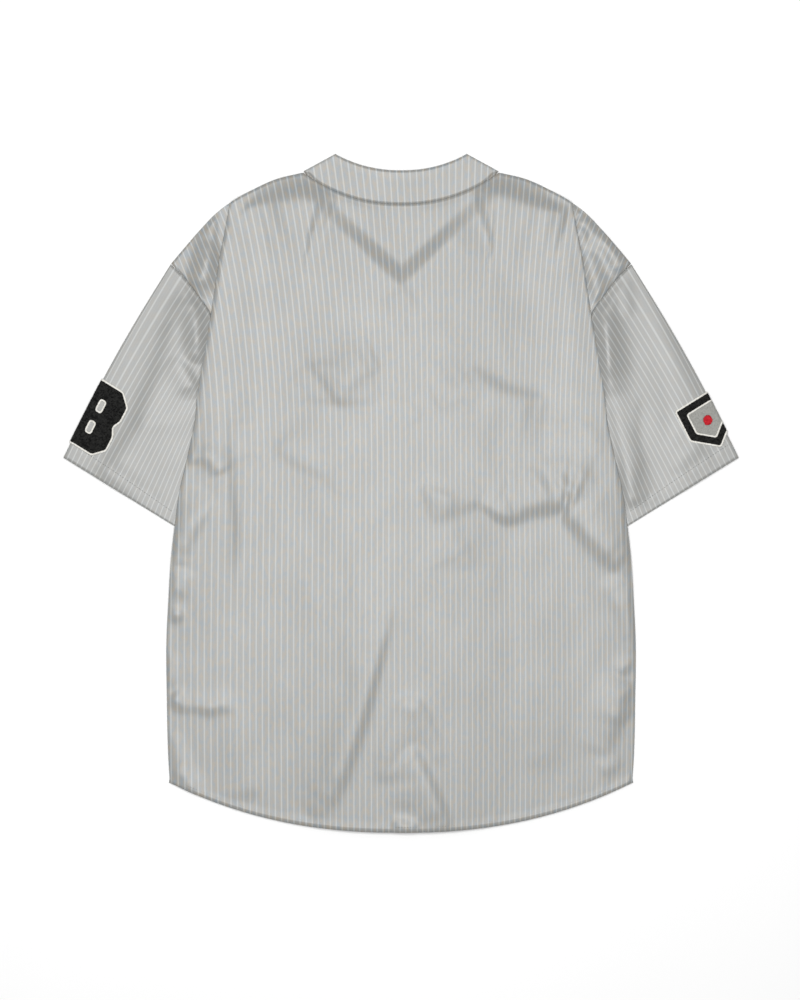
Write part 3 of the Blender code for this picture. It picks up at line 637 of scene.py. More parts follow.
def wing_path(y):
    """Path of the back beyond its side fold: under, then back out to the armhole or the seam."""
    path = turn(side_at(SIDE_FOLD, y) - FOLD_INSET, side_level(y), 1.0)[1:]
    fold_x, under = path[-1]
    inner_x = tuck_x(y)
    path += [(mix(fold_x, inner_x, step / RETURN_STEPS), under)
             for step in range(1, RETURN_STEPS + 1)]
    if y >= UNDERARM_Y:
        edge = armhole_edge(y) if y <= ARMHOLE_TOP_Y else side_at(SHOULDER, y) - EDGE_CLEARANCE
        path += turn(inner_x, under, -1.0)[1:]
        path += [(mix(inner_x, edge, step / CAP_STEPS), ON_FRONT)
                 for step in range(1, CAP_STEPS + 1)]
        return path
    seam_x = side_at(SIDE_SEAM, y)
    lapped = min(1.0, max(0.0, (y - SEAM_FLAT_Y) / (SEAM_LAPPED_Y - SEAM_FLAT_Y)))
    seam_z = mix(ON_FLOOR, ON_FRONT, lapped)
    steps = TURN_STEPS + CAP_STEPS
    for step in range(1, steps + 1):
        share = step / steps
        z = mix(under, seam_z, smooth(share / RETURN_RAMP_SHARE))
        path.append((mix(inner_x, seam_x, share), z))
    return path


def stripe_share(x, y, pitch):
    """Stripe count across the body: the grain fans out a little towards the shoulders."""
    fan = 1.0 + 0.2 * np.clip(y / 373.0, 0.0, 1.1) ** 2.2
    straight = (x - 60.0) / fan + 3.0 * np.sin(y / 140.0) * (x / 270.0)
    return straight / pitch + 0.000047 * straight ** 2


def back_row(side_y, settings):
    """Points and weave coordinates of one row of the back, from left seam to right seam."""
    half_width = side_at(SIDE_FOLD, side_y) - FOLD_INSET
    share = (side_y - HEM_CORNER_Y) / (PLEAT_TOP_Y - HEM_CORNER_Y)
    low = max(0.0, 1.0 - 2.0 * share) ** 2
    high = max(0.0, 2.0 * share - 1.0) ** 2
    x = np.linspace(-half_width, half_width, MAIN_COLUMNS + 1)
    y = side_y + low * (hem_y(x) - HEM_CORNER_Y) + high * (back_top_y(x) - PLEAT_TOP_Y)
    z = back_level(x, y, side_y) + settings.crease_scale * body_folds(x, y)
    wing = np.array(wing_path(side_y))
    run = np.cumsum(np.hypot(*np.diff(np.vstack([[half_width, wing[0][1]], wing]), axis=0).T))
    cap_start = RETURN_STEPS + 2 * TURN_STEPS
    sides = []
    for side in (-1.0, 1.0):
        wing_x = side * wing[:, 0]
        wing_z = wing[:, 1].copy()
        if side_y >= UNDERARM_Y:
            fade = smooth(np.arange(len(wing) - cap_start) / 4.0)
            fade = fade * smooth((wing[-1, 0] - wing[cap_start:, 0]) / 8.0)
            fade = fade * smooth((wing[cap_start:, 0] - wing[0, 0] + 4.0) / 5.0)
            lift = folds_at(CAP_FOLDS, wing_x[cap_start:], np.full(len(fade), side_y))
            wing_z[cap_start:] += settings.crease_scale * fade * np.maximum(lift, 0.0)
        grain = stripe_share(side * (half_width + run), side_y, settings.stripe_pitch)
        if side_y >= UNDERARM_Y:
            lean = wing[:, 0] - CAP_LEAN * side_y
            shown = smooth((np.arange(len(wing)) - cap_start + TURN_STEPS) / TURN_STEPS)
            grain = mix(grain, side * (lean / CAP_PITCH + CAP_COUNT), shown)
        sides.append((wing_x, np.full(len(wing), side_y), wing_z, grain))
    grain = stripe_share(x, side_y + high * (back_top_y(x) - PLEAT_TOP_Y), settings.stripe_pitch)
    left = [values[::-1] for values in sides[0]]
    joined = [np.concatenate(parts) for parts in zip(left, (x, y, z, grain), sides[1])]
    return np.stack(joined, axis=1)


def front_inner_point(share):
    """Inner edge of the right front: its closing edge, then the arm of the V neck."""
    top_y = SHOULDER[0].y - EDGE_CLEARANCE
    slope = (top_y - V_SEAM_Y + 2.0 * NECK_GAP) / NECK_HALF_WIDTH
    y = mix(HEM_LOW_Y, top_y, share)
    return max(-PLACKET_HALF, (y - top_y) / slope + NECK_HALF_WIDTH), y


def front_row(side_y, rise, columns, settings):
    """Points and weave coordinates of one row of the right front panel."""
    share = (side_y - HEM_CORNER_Y) / (ARMHOLE_TOP_Y - HEM_CORNER_Y)
    low = max(0.0, 1.0 - 2.0 * share) ** 2
    high = max(0.0, 2.0 * share - 1.0) ** 2
    inner_x, inner_y = front_inner_point(share)
    outer_x = armhole_edge(side_y) if side_y >= UNDERARM_Y else None
    if outer_x is None:
        outer_x = side_at(SIDE_SEAM, side_y) - EDGE_CLEARANCE
    column = np.linspace(0.0, 1.0, columns + 1)
    x = mix(inner_x, outer_x, column)
    y = mix(inner_y, side_y, column)
    hem_x = mix(-PLACKET_HALF, HEM_HALF_WIDTH, column)
    top_x = mix(NECK_HALF_WIDTH, armhole_edge(ARMHOLE_TOP_Y), column)
    y = y + low * (hem_y(hem_x) - mix(HEM_LOW_Y, HEM_CORNER_Y, column))
    y = y + high * (shoulder_y(top_x) - mix(SHOULDER[0].y, ARMHOLE_TOP_Y, column))
    z = ON_FLOOR + rise * placket_ramp(x, y)
    return np.stack([x, y, z, stripe_share(x, side_y, settings.stripe_pitch)], axis=1)


def sleeve_plan(seam_x, seam_y, across, along):
    """Plan points of the right sleeve on lines from its armhole seam to its hem."""
    hem = [SLEEVE_TIP[axis] - FOLD_INSET * SLEEVE_OUTWARD[axis]
           + SLEEVE_OPENING * across * SLEEVE_HEM_ACROSS[axis] for axis in (0, 1)]
    bulge = SLEEVE_BULGE * math.sin(math.pi * along) * (1.0 - across)
    return (mix(seam_x, hem[0], along) + bulge * SLEEVE_OUTWARD[0],
            mix(seam_y, hem[1], along) + bulge * SLEEVE_OUTWARD[1])


def sleeve_lift(across, along):
    """How far the sleeve's outer strip is held up by the pile that wraps its fold."""
    fade = 1.0 - smooth((across * SLEEVE_OPENING - SLEEVE_LIFT_END) / SLEEVE_LIFT_FADE)
    return SLEEVE_LIFT * fade * smooth(along / SLEEVE_LIFT_START)


def fold_ring(low, high, direction):
    """Points of a half-round fold between two stacked points, from the first to the second."""
    middle = (low[2] + high[2]) / 2
    reach = (low[2] - high[2]) / 2
    points = []
    for step in range(1, TURN_STEPS):
        angle = math.pi * step / TURN_STEPS
        out = FOLD_RADIUS * math.sin(angle)
        x = low[0] + direction[0] * out
        points.append((x, low[1] + direction[1] * out, middle + reach * math.cos(angle), low[3]))
    return np.array(points)


def sleeve_rows(side, creases, settings):
    """Rings of one sleeve from armhole to hem, with weave coordinates."""
    upper_columns = 58
    lower_columns = 22
    rings = []
    for along in np.linspace(0.0, 1.0, 78):
        layers = []
        for columns, top in ((upper_columns, True), (lower_columns, False)):
            across = np.linspace(0.0, 1.0, columns + 1)
            seam_y = mix(ARMHOLE_TOP_Y, UNDERARM_Y, across)
            seam_x = side_at(ARMHOLE, seam_y) + EDGE_CLEARANCE
            corner = 1.0 - smooth(across / 0.1)
            seam_x = mix(seam_x, SLEEVE_TOP[0], corner)
            seam_y = mix(seam_y, SLEEVE_TOP[1], corner)
            x, y = sleeve_plan(seam_x, seam_y, across, along)
            z = ON_FLOOR + sleeve_lift(across, along)
            from_hem = (1.0 - along) * SLEEVE_LENGTH
            if top:
                body = side_at(SIDE_FOLD, y)
                clear = smooth((x - body + 4.0) / 5.0) * smooth(across / 0.08)
                clear = clear * smooth(along / 0.05)
                calm = smooth((x - body - 2.0) / 12.0)
                folds = folds_at(creases, side * x, y)
                folds = folds + calm * np.maximum(uneven(x, y, 5) + 0.3, 0.0)
                hem = hem_relief(from_hem, SLEEVE_HEM)
                hem = hem + hem_pucker(across * SLEEVE_OPENING, from_hem, SLEEVE_HEM)
                outside = smooth((x - body) / 5.0)
                z = z + LAYER + settings.crease_scale * folds * clear + hem * outside
            grain = -across * SLEEVE_OPENING / settings.stripe_pitch
            layers.append(np.stack([x, y, z, grain], axis=1))
        upper, lower = layers
        ring = np.vstack([upper, fold_ring(upper[-1], lower[-1], (-1.0, 0.0)), lower[::-1],
                          fold_ring(lower[0], upper[0], SLEEVE_OUTWARD)])
        ring[:, 0] *= side
        rings.append(ring if side > 0 else ring[::-1])
    return rings


def fold_line():
    """Ends and outward normal of the band's fold at the shoulder, on its middle surface."""
    run = (NECK_CORNER[0] - NECK_TIP[0], NECK_CORNER[1] - NECK_TIP[1])
    length = math.hypot(*run)
    normal = (-run[1] / length, run[0] / length)
    tip = [NECK_TIP[axis] - normal[axis] * FOLD_INSET for axis in (0, 1)]
    corner = [NECK_CORNER[axis] - normal[axis] * FOLD_INSET for axis in (0, 1)]
    return tip, corner, normal


def band_strip(inner, outer, z, settings):
    """One row across the neck band, from its free edge to its seam."""
    share = np.linspace(0.0, 1.0, 13)
    x = mix(inner[0], outer[0], share)
    y = mix(inner[1], outer[1], share)
    width = math.hypot(outer[0] - inner[0], outer[1] - inner[1])
    height = z(x, y) + hem_relief(share * width, BAND_STITCH)
    return np.stack([x, y, height, stripe_share(x, y, settings.stripe_pitch)], axis=1)


def band_rows(settings):
    """Rows of the neck band: left arm of the V, back neck, right arm of the V."""
    tip, corner, normal = fold_line()
    arms = {}
    for side, rise in ((-1.0, OUTER_FRONT_RISE), (1.0, UNDER_FRONT_RISE)):
        rows = []
        for share in np.linspace(0.0, 1.0, 34):
            inner = [mix(SEAM_GAP / 2, tip[0], share), mix(V_EDGE_Y, tip[1], share)]
            outer = [mix(SEAM_GAP / 2, corner[0], share), mix(V_SEAM_Y, corner[1], share)]
            level = lambda x, y: ON_FLOOR + rise * placket_ramp(x, y)
            rows.append(band_strip(inner, outer, level, settings))
        low = rows[-1]
        high = low + np.array([0.0, 0.0, LAYER, 0.0])
        folds = [fold_ring(first, second, normal) for first, second in zip(low, high)]
        rows += [np.array([fold[step] for fold in folds]) for step in range(TURN_STEPS - 1)]
        for row in rows:
            row[:, 0] *= side
        arms[side] = rows
    back = []
    for share in np.linspace(-1.0, 1.0, 81):
        outer_x = share * NECK_HALF_WIDTH
        near_end = smooth((abs(share) - 0.8) / 0.2)
        outer = [mix(outer_x, share * corner[0], near_end),
                 mix(neck_seam_y(outer_x) + NECK_GAP, corner[1], near_end ** 3)]
        inner = [share * tip[0], mix(NECK_EDGE_LOW, tip[1], abs(share) ** NECK_POWER)]
        back.append(band_strip(inner, outer, lambda x, y: np.full(len(x), ON_FRONT), settings))
    return arms[-1.0] + back + arms[1.0][::-1]


def pile_point(side, over, up, rise):
    """Point on the applique's surface, raised by rise from its middle surface."""
    radius = PILE_RADIUS + rise
    held = np.clip(over, -PILE_QUARTER, PILE_QUARTER) / PILE_RADIUS
    flat = np.maximum(np.abs(over) - PILE_QUARTER, 0.0)
    out = radius * np.cos(held)
    along = 1.0 - up / SLEEVE_LENGTH
    bulge = SLEEVE_BULGE * np.sin(math.pi * along)
    hem = [SLEEVE_TIP[axis] - FOLD_INSET * SLEEVE_OUTWARD[axis] for axis in (0, 1)]
    base = [mix(SLEEVE_TOP[axis], hem[axis], along) + (bulge + out) * SLEEVE_OUTWARD[axis]
            + flat * SLEEVE_HEM_ACROSS[axis] for axis in (0, 1)]
    z = ON_FLOOR + FOLD_RADIUS + SLEEVE_LIFT + radius * np.sin(held)
    return np.stack([side * base[0], base[1], np.maximum(z, 0.05)], axis=-1)


def in_numeral(across, up):
    """True inside the block numeral, in its own width and height."""
    side = np.minimum(across, NUMERAL_WIDTH - across)
    end = np.minimum(up, NUMERAL_HEIGHT - up)
    inside = (side >= 0) & (end >= 0) & (side + end >= NUMERAL_CHAMFER)
    middle = NUMERAL_HEIGHT / 2
    inside &= side >= NUMERAL_WAIST - np.abs(up - middle) * NUMERAL_WAIST_SLOPE
    core = (side > NUMERAL_STROKE) & (end > NUMERAL_END_STROKE)
    return inside & ~(core & (np.abs(up - middle) > NUMERAL_BAR / 2))


def numeral_outlines():
    """Closed outlines of the block numeral: its rim and its two openings."""
    width = NUMERAL_WIDTH
    height = NUMERAL_HEIGHT
    cut = NUMERAL_CHAMFER
    waist = NUMERAL_WAIST / NUMERAL_WAIST_SLOPE
    middle = height / 2
    rim = [(cut, 0), (width - cut, 0), (width, cut), (width, middle - waist),
           (width - NUMERAL_WAIST, middle), (width, middle + waist), (width, height - cut),
           (width - cut, height), (cut, height), (0, height - cut), (0, middle + waist),
           (NUMERAL_WAIST, middle), (0, middle - waist), (0, cut)]
    outlines = [rim]
    edge = NUMERAL_STROKE
    low = NUMERAL_END_STROKE
    high = middle - NUMERAL_BAR / 2
    for base, top in ((low, high), (height - high, height - low)):
        outlines.append([(edge, base), (width - edge, base), (width - edge, top), (edge, top)])
    return outlines


def in_plate(across, up):
    """True inside the five-sided patch, whose point is to the hem."""
    half = PATCH_HALF_WIDTH
    away = np.abs(across - half)
    return (away <= half) & (up <= PATCH_HEIGHT) & (up >= PATCH_POINT * away / half)


def in_field(across, up):
    """True inside the smaller field of the patch."""
    middle = PATCH_HEIGHT * PATCH_FIELD_CENTRE
    plate = in_plate((across - PATCH_HALF_WIDTH) / PATCH_FIELD + PATCH_HALF_WIDTH,
                     (up - middle) / PATCH_FIELD + middle)
    return plate & ~in_dot(across, up)


def in_border(across, up):
    """True on the border of the patch, between its rim and its field."""
    return in_plate(across, up) & ~in_field(across, up) & ~in_dot(across, up)


def in_dot(across, up):
    """True inside the round spot in the middle of the patch."""
    middle = PATCH_HEIGHT * PATCH_FIELD_CENTRE
    return np.hypot(across - PATCH_HALF_WIDTH, up - middle) < PATCH_DOT_RADIUS


def patch_outlines():
    """Rim of the patch, and a smaller one inside it."""
    half = PATCH_HALF_WIDTH
    rim = [(half, 0), (2 * half, PATCH_POINT), (2 * half, PATCH_HEIGHT), (0, PATCH_HEIGHT),
           (0, PATCH_POINT)]
    centre = (half, PATCH_HEIGHT * PATCH_FIELD_CENTRE)
    inner = [(mix(centre[0], x, PATCH_FIELD), mix(centre[1], y, PATCH_FIELD)) for x, y in rim]
    return [rim, inner]


def grid_mesh(name, rows, closed=False):
    """Mesh from rows of points with a grain coordinate, as an open sheet or a tube."""
    rows = np.array([np.vstack([row, row[:1]]) if closed else row for row in rows])
    across = rows.shape[1]
    shape = bmesh.new()
    bmesh.ops.create_grid(shape, x_segments=across - 1, y_segments=len(rows) - 1, size=1.0)
    mesh = bpy.data.meshes.new(name)
    shape.to_mesh(mesh)
    shape.free()
    flat = rows.reshape(-1, rows.shape[2])
    mesh.vertices.foreach_set("co", (flat[:, :3] * METRES).astype(np.float32).ravel())
    corners = np.zeros(len(mesh.loops), np.int32)
    mesh.loops.foreach_get("vertex_index", corners)
    weave = np.stack([flat[:, 3], flat[:, 1] * 0.1], axis=1)[corners]
    layer = mesh.uv_layers.new(name="grain")
    layer.data.foreach_set("uv", weave.astype(np.float32).ravel())
    if closed:
        shape = bmesh.new()
        shape.from_mesh(mesh)
        bmesh.ops.remove_doubles(shape, verts=shape.verts, dist=0.00001)
        shape.to_mesh(mesh)
        shape.free()
    mesh.shade_smooth()
    mesh.update()
    return mesh


def show(item, material, nodes=()):
    """Link a piece, give it its finish and body, and hide the solids that it stands for."""
    bpy.context.scene.collection.objects.link(item)
    item.data.materials.append(material)
    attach(item, "root")
    if nodes:
        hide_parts(*nodes)
    return item


def add_sheet(name, rows, node, settings, closed=False, tint=True):
    """Make one cloth piece that stands for its solid, and hide that solid."""
    item = bpy.data.objects.new(name, grid_mesh(name, rows, closed))
    solidify = item.modifiers.new("cloth", "SOLIDIFY")
    solidify.thickness = CLOTH * METRES
    solidify.offset = 0.0
    finish = satin_material(settings) if tint else satin_material(settings, "plain_satin", 0.25)
    show(item, finish, (node,))
    return item


def stitch_mesh(name, lines):
    """Join short raised stitches along lines of points, each line an array of x, y and z."""
    solid = np.array([(-0.5, 0, 0), (0.5, 0, 0), (0, -0.5, 0), (0, 0.5, 0), (0, 0, 1.0),
                      (0, 0, -0.5), (-0.3, 0, 0.8), (0.3, 0, 0.8)])
    faces = [(0, 2, 6), (2, 4, 6), (2, 7, 4), (2, 1, 7), (1, 3, 7), (3, 4, 7), (3, 6, 4),
             (3, 0, 6), (0, 5, 2), (2, 5, 1), (1, 5, 3), (3, 5, 0)]
    points = []
    cells = []
    for line in lines:
        steps = np.linalg.norm(np.diff(line, axis=0), axis=1)
        run = np.concatenate([[0.0], np.cumsum(steps)])
        for place in np.arange(STITCH_PITCH, run[-1] - STITCH_PITCH / 2, STITCH_PITCH):
            ends = [np.array([np.interp(place + half, run, line[:, axis]) for axis in range(3)])
                    for half in (-STITCH_LENGTH / 2, STITCH_LENGTH / 2)]
            along = ends[1] - ends[0]
            side = np.cross((0.0, 0.0, 1.0), along)
            side = side / np.linalg.norm(side) * STITCH_WIDTH
            start = len(points)
            centre = (ends[0] + ends[1]) / 2
            for a, b, c in solid:
                points.append(centre + a * along + b * side + np.array([0, 0, c * STITCH_HEIGHT]))
            cells += [tuple(start + index for index in face) for face in faces]
    mesh = bpy.data.meshes.new(name)
    mesh.from_pydata([tuple(point * METRES) for point in points], [], cells)
    mesh.shade_smooth()
    return mesh


def resampled(outline, step):
    """Points along a closed outline, spaced by about one step, with its corners kept."""
    points = []
    for start, end in zip(outline, outline[1:] + outline[:1]):
        count = max(1, int(math.hypot(end[0] - start[0], end[1] - start[1]) / step))
        points += [(mix(start[0], end[0], part / count), mix(start[1], end[1], part / count))
                   for part in range(count)]
    return points


def wrapped_cord(name, side, outlines, origin, radius, rise):
    """Corded edges that follow outlines over the sleeve's fold, as one mesh of tubes."""
    tubes = bmesh.new()
    sides = 8
    for outline in outlines:
        flat = np.array(resampled(outline, 1.6))
        smoothed = flat.copy()
        for _ in range(2):
            smoothed = (np.roll(smoothed, 1, 0) + 2 * smoothed + np.roll(smoothed, -1, 0)) / 4
        over = smoothed[:, 0] + origin[0]
        up = smoothed[:, 1] + origin[1]
        centre = pile_point(side, over, up, rise)
        outward = pile_point(side, over, up, rise + 1.0) - centre
        outward /= np.linalg.norm(outward, axis=1)[:, None]
        along = np.roll(centre, -1, 0) - np.roll(centre, 1, 0)
        along /= np.linalg.norm(along, axis=1)[:, None]
        across = np.cross(along, outward)
        rings = []
        for index in range(len(centre)):
            thick = radius * (1.0 + 0.12 * math.sin(index * 2.4))
            ring = []
            for part in range(sides):
                angle = 2.0 * math.pi * part / sides
                offset = across[index] * math.cos(angle) + outward[index] * math.sin(angle) * 0.8
                point = centre[index] + thick * offset
                point[2] = max(point[2], 0.05)
                ring.append(tubes.verts.new(point * METRES))
            rings.append(ring)
        for ring, following in zip(rings, rings[1:] + rings[:1]):
            for part in range(sides):
                after = (part + 1) % sides
                tubes.faces.new((ring[part], ring[after], following[after], following[part]))
    mesh = bpy.data.meshes.new(name)
    bmesh.ops.recalc_face_normals(tubes, faces=tubes.faces)
    tubes.to_mesh(mesh)
    tubes.free()
    mesh.shade_smooth()
    return mesh


def pile_mesh(name, side, inside, size, origin, seed):
    """Tufted body of an applique: fine domed top, flat base and closed sides."""
    columns = int(size[0] / TUFT) + 1
    rows = int(size[1] / TUFT) + 1
    across, up = np.meshgrid(np.linspace(0, size[0], columns + 1), np.linspace(0, size[1], rows + 1))
    kept = inside((across[:-1, :-1] + across[1:, 1:]) / 2, (up[:-1, :-1] + up[1:, 1:]) / 2)
    padded = np.pad(kept, 1)
    shared = padded[:-1, :-1] & padded[1:, :-1] & padded[:-1, 1:] & padded[1:, 1:]
    chance = np.random.default_rng(seed)
    rise = PILE / 2 + np.where(shared, chance.uniform(0.0, 0.45, across.shape), -0.35)
    top = pile_point(side, across + origin[0], up + origin[1], rise).reshape(-1, 3)
    base = pile_point(side, across + origin[0], up + origin[1], -PILE / 2).reshape(-1, 3)
    shape = bmesh.new()
    bmesh.ops.create_grid(shape, x_segments=columns, y_segments=rows, size=1.0)
    shape.faces.ensure_lookup_table()
    gone = [face for face, stays in zip(shape.faces, kept.ravel()) if not stays]
    for vertex, point in zip(shape.verts, top):
        vertex.co = point * METRES
    drop = {vertex: point * METRES for vertex, point in zip(shape.verts, base)}
    bmesh.ops.delete(shape, geom=gone, context="FACES")
    rim = [edge for edge in shape.edges if edge.is_boundary]
    walls = bmesh.ops.extrude_edge_only(shape, edges=rim)["geom"]
    lowered = [item for item in walls if isinstance(item, bmesh.types.BMVert)]
    for vertex in lowered:
        near = [edge.other_vert(vertex) for edge in vertex.link_edges]
        upper = [other for other in near if other in drop]
        vertex.co = drop[upper[0]]
    bmesh.ops.recalc_face_normals(shape, faces=shape.faces)
    mesh = bpy.data.meshes.new(name)
    shape.to_mesh(mesh)
    shape.free()
    mesh.shade_smooth()
    return mesh


def node_group(name, inputs, outputs):
    """Start a shader node group with named sockets."""
    group = bpy.data.node_groups.new(name, "ShaderNodeTree")
    for label, kind, value in inputs:
        socket = group.interface.new_socket(name=label, in_out="INPUT", socket_type=kind)
        if value is not None:
            socket.default_value = value
    for label, kind in outputs:
        group.interface.new_socket(name=label, in_out="OUTPUT", socket_type=kind)
    start = group.nodes.new("NodeGroupInput")
    end = group.nodes.new("NodeGroupOutput")
    return group, start, end


def add_math(tree, operation, first, second=None, third=None):
    """Add a math node fed by sockets or numbers, and return its output."""
    node = tree.nodes.new("ShaderNodeMath")
    node.operation = operation
    for index, value in enumerate((first, second, third)):
        if value is None:
            continue
        if isinstance(value, (int, float)):
            node.inputs[index].default_value = value
        else:
            tree.links.new(value, node.inputs[index])
    return node.outputs[0]


def add_noise(tree, vector, scale, detail):
    """Add a noise texture and return its value."""
    node = tree.nodes.new("ShaderNodeTexNoise")
    node.inputs["Scale"].default_value = scale
    node.inputs["Detail"].default_value = detail
    tree.links.new(vector, node.inputs["Vector"])
    return node.outputs["Fac"]


def pinstripe_group():
    """Mask of the fine stripes, and of the faint ribs between them."""
    group, start, end = node_group(
        "pinstripe",
        [("Grain", "NodeSocketVector", None), ("Width", "NodeSocketFloat", 0.3),
         ("Softness", "NodeSocketFloat", 0.1), ("Ribs", "NodeSocketFloat", 4.0)],
        [("Stripe", "NodeSocketFloat"), ("Rib", "NodeSocketFloat")],
    )
    parts = group.nodes.new("ShaderNodeSeparateXYZ")
    group.links.new(start.outputs["Grain"], parts.inputs[0])
    count = parts.outputs["X"]
    away = add_math(group, "ABSOLUTE", add_math(group, "SUBTRACT", add_math(group, "FRACT", count), 0.5))
    edge = add_math(group, "SUBTRACT", add_math(group, "MULTIPLY", start.outputs["Width"], 0.5), away)
    share = add_math(group, "DIVIDE", edge, start.outputs["Softness"])
    ramp = group.nodes.new("ShaderNodeClamp")
    group.links.new(add_math(group, "ADD", share, 0.5), ramp.inputs["Value"])
    group.links.new(ramp.outputs[0], end.inputs["Stripe"])
    fine = add_math(group, "FRACT", add_math(group, "MULTIPLY", count, start.outputs["Ribs"]))
    group.links.new(add_math(group, "PINGPONG", fine, 0.5), end.inputs["Rib"])
    return group


def weave_group():
    """Fine satin floats: height along the warp, slow change of sheen, and tint of the yarns."""
    group, start, end = node_group(
        "satin_floats",
        [("Grain", "NodeSocketVector", None), ("Place", "NodeSocketVector", None)],
        [("Height", "NodeSocketFloat"), ("Sheen", "NodeSocketFloat"), ("Yarn", "NodeSocketFloat")],
    )
    stretch = group.nodes.new("ShaderNodeMapping")
    stretch.inputs["Scale"].default_value = (14.0, 2.2, 1.0)
    group.links.new(start.outputs["Grain"], stretch.inputs["Vector"])
    group.links.new(add_noise(group, stretch.outputs[0], 3.0, 3.0), end.inputs["Height"])
    group.links.new(add_noise(group, start.outputs["Place"], 22.0, 2.0), end.inputs["Sheen"])
    patches = group.nodes.new("ShaderNodeMapping")
    patches.inputs["Scale"].default_value = (1.9, 1.1, 1.0)
    group.links.new(start.outputs["Grain"], patches.inputs["Vector"])
    tint = add_noise(group, patches.outputs[0], 1.0, 1.5)
    sharper = group.nodes.new("ShaderNodeClamp")
    group.links.new(add_math(group, "MULTIPLY_ADD", tint, 3.0, -1.0), sharper.inputs["Value"])
    group.links.new(sharper.outputs[0], end.inputs["Yarn"])
    return group


def tuft_group():
    """Looped pile: round tufts, and a slight change of shade from tuft to tuft."""
    group, start, end = node_group(
        "pile_tufts",
        [("Place", "NodeSocketVector", None), ("Density", "NodeSocketFloat", 620.0)],
        [("Height", "NodeSocketFloat"), ("Shade", "NodeSocketFloat")],
    )
    cells = group.nodes.new("ShaderNodeTexVoronoi")
    group.links.new(start.outputs["Place"], cells.inputs["Vector"])
    group.links.new(start.outputs["Density"], cells.inputs["Scale"])
    group.links.new(add_math(group, "SUBTRACT", 1.0, cells.outputs["Distance"]), end.inputs["Height"])
    parts = group.nodes.new("ShaderNodeSeparateXYZ")
    group.links.new(cells.outputs["Color"], parts.inputs[0])
    group.links.new(parts.outputs["X"], end.inputs["Shade"])
    return group


def shared_group(name, maker):
    """Return a node group, made once."""
    return bpy.data.node_groups.get(name) or maker()


def new_material(name):
    """Start a node material and return it with its tree and shader."""
    material = bpy.data.materials.new(name)
    material.use_nodes = True
    tree = material.node_tree
    return material, tree, tree.nodes["Principled BSDF"]


def use_group(tree, group):
    """Add a group node to a tree."""
    node = tree.nodes.new("ShaderNodeGroup")
    node.node_tree = group
    return node


def mix_colour(tree, factor, first, second):
    """Blend two colours or sockets by a factor socket."""
    node = tree.nodes.new("ShaderNodeMix")
    node.data_type = "RGBA"
    tree.links.new(factor, node.inputs["Factor"])
    for label, value in (("A", first), ("B", second)):
        socket = [item for item in node.inputs if item.name == label and item.type == "RGBA"][0]
        if isinstance(value, tuple):
            socket.default_value = value
        else:
            tree.links.new(value, socket)
    return [item for item in node.outputs if item.type == "RGBA"][0]


def add_bump(tree, height, distance, strength):
    """Add a bump node and return its normal."""
    node = tree.nodes.new("ShaderNodeBump")
    node.inputs["Distance"].default_value = distance
    node.inputs["Strength"].default_value = strength
    tree.links.new(height, node.inputs["Height"])
    return node.outputs[0]


def satin_material(settings, name="grey_satin", tint=1.0):
    """Light grey satin with fine pale stripes and yarns of two tints, made once."""
    if name in bpy.data.materials:
        return bpy.data.materials[name]
    material, tree, shader = new_material(name)
    place = tree.nodes.new("ShaderNodeTexCoord")
    grain = tree.nodes.new("ShaderNodeUVMap")
    grain.uv_map = "grain"
    stripe = use_group(tree, shared_group("pinstripe", pinstripe_group))
    stripe.inputs["Width"].default_value = settings.stripe_width
    tree.links.new(grain.outputs[0], stripe.inputs["Grain"])
    floats = use_group(tree, shared_group("satin_floats", weave_group))
    tree.links.new(grain.outputs[0], floats.inputs["Grain"])
    tree.links.new(place.outputs["Object"], floats.inputs["Place"])
    yarn = add_math(tree, "MULTIPLY_ADD", floats.outputs["Yarn"], tint, 0.5 - 0.5 * tint)
    ground = mix_colour(tree, yarn, tuple(settings.ground_cool) + (1.0,),
                        tuple(settings.ground_warm) + (1.0,))
    pale = mix_colour(tree, yarn, tuple(settings.stripe_cool) + (1.0,),
                      tuple(settings.stripe_warm) + (1.0,))
    rib = add_math(tree, "MULTIPLY", stripe.outputs["Rib"], settings.rib)
    share = add_math(tree, "MAXIMUM", stripe.outputs["Stripe"], rib)
    tree.links.new(mix_colour(tree, share, ground, pale), shader.inputs["Base Color"])
    gloss = add_math(tree, "MULTIPLY_ADD", floats.outputs["Sheen"], 0.08, settings.gloss_roughness)
    tree.links.new(gloss, shader.inputs["Roughness"])
    tree.links.new(add_bump(tree, floats.outputs["Height"], 0.0001, 0.3), shader.inputs["Normal"])
    shader.inputs["Specular IOR Level"].default_value = settings.gloss
    return material


def pile_material(name, colour, pale):
    """Looped pile of one colour with slightly paler tips, made once."""
    if name in bpy.data.materials:
        return bpy.data.materials[name]
    material, tree, shader = new_material(name)
    place = tree.nodes.new("ShaderNodeTexCoord")
    tufts = use_group(tree, shared_group("pile_tufts", tuft_group))
    tree.links.new(place.outputs["Object"], tufts.inputs["Place"])
    tinted = mix_colour(tree, tufts.outputs["Shade"], colour, pale)
    tree.links.new(tinted, shader.inputs["Base Color"])
    tree.links.new(add_bump(tree, tufts.outputs["Height"], 0.0009, 0.9), shader.inputs["Normal"])
    shader.inputs["Roughness"].default_value = 0.9
    shader.inputs["Specular IOR Level"].default_value = 0.1
    return material


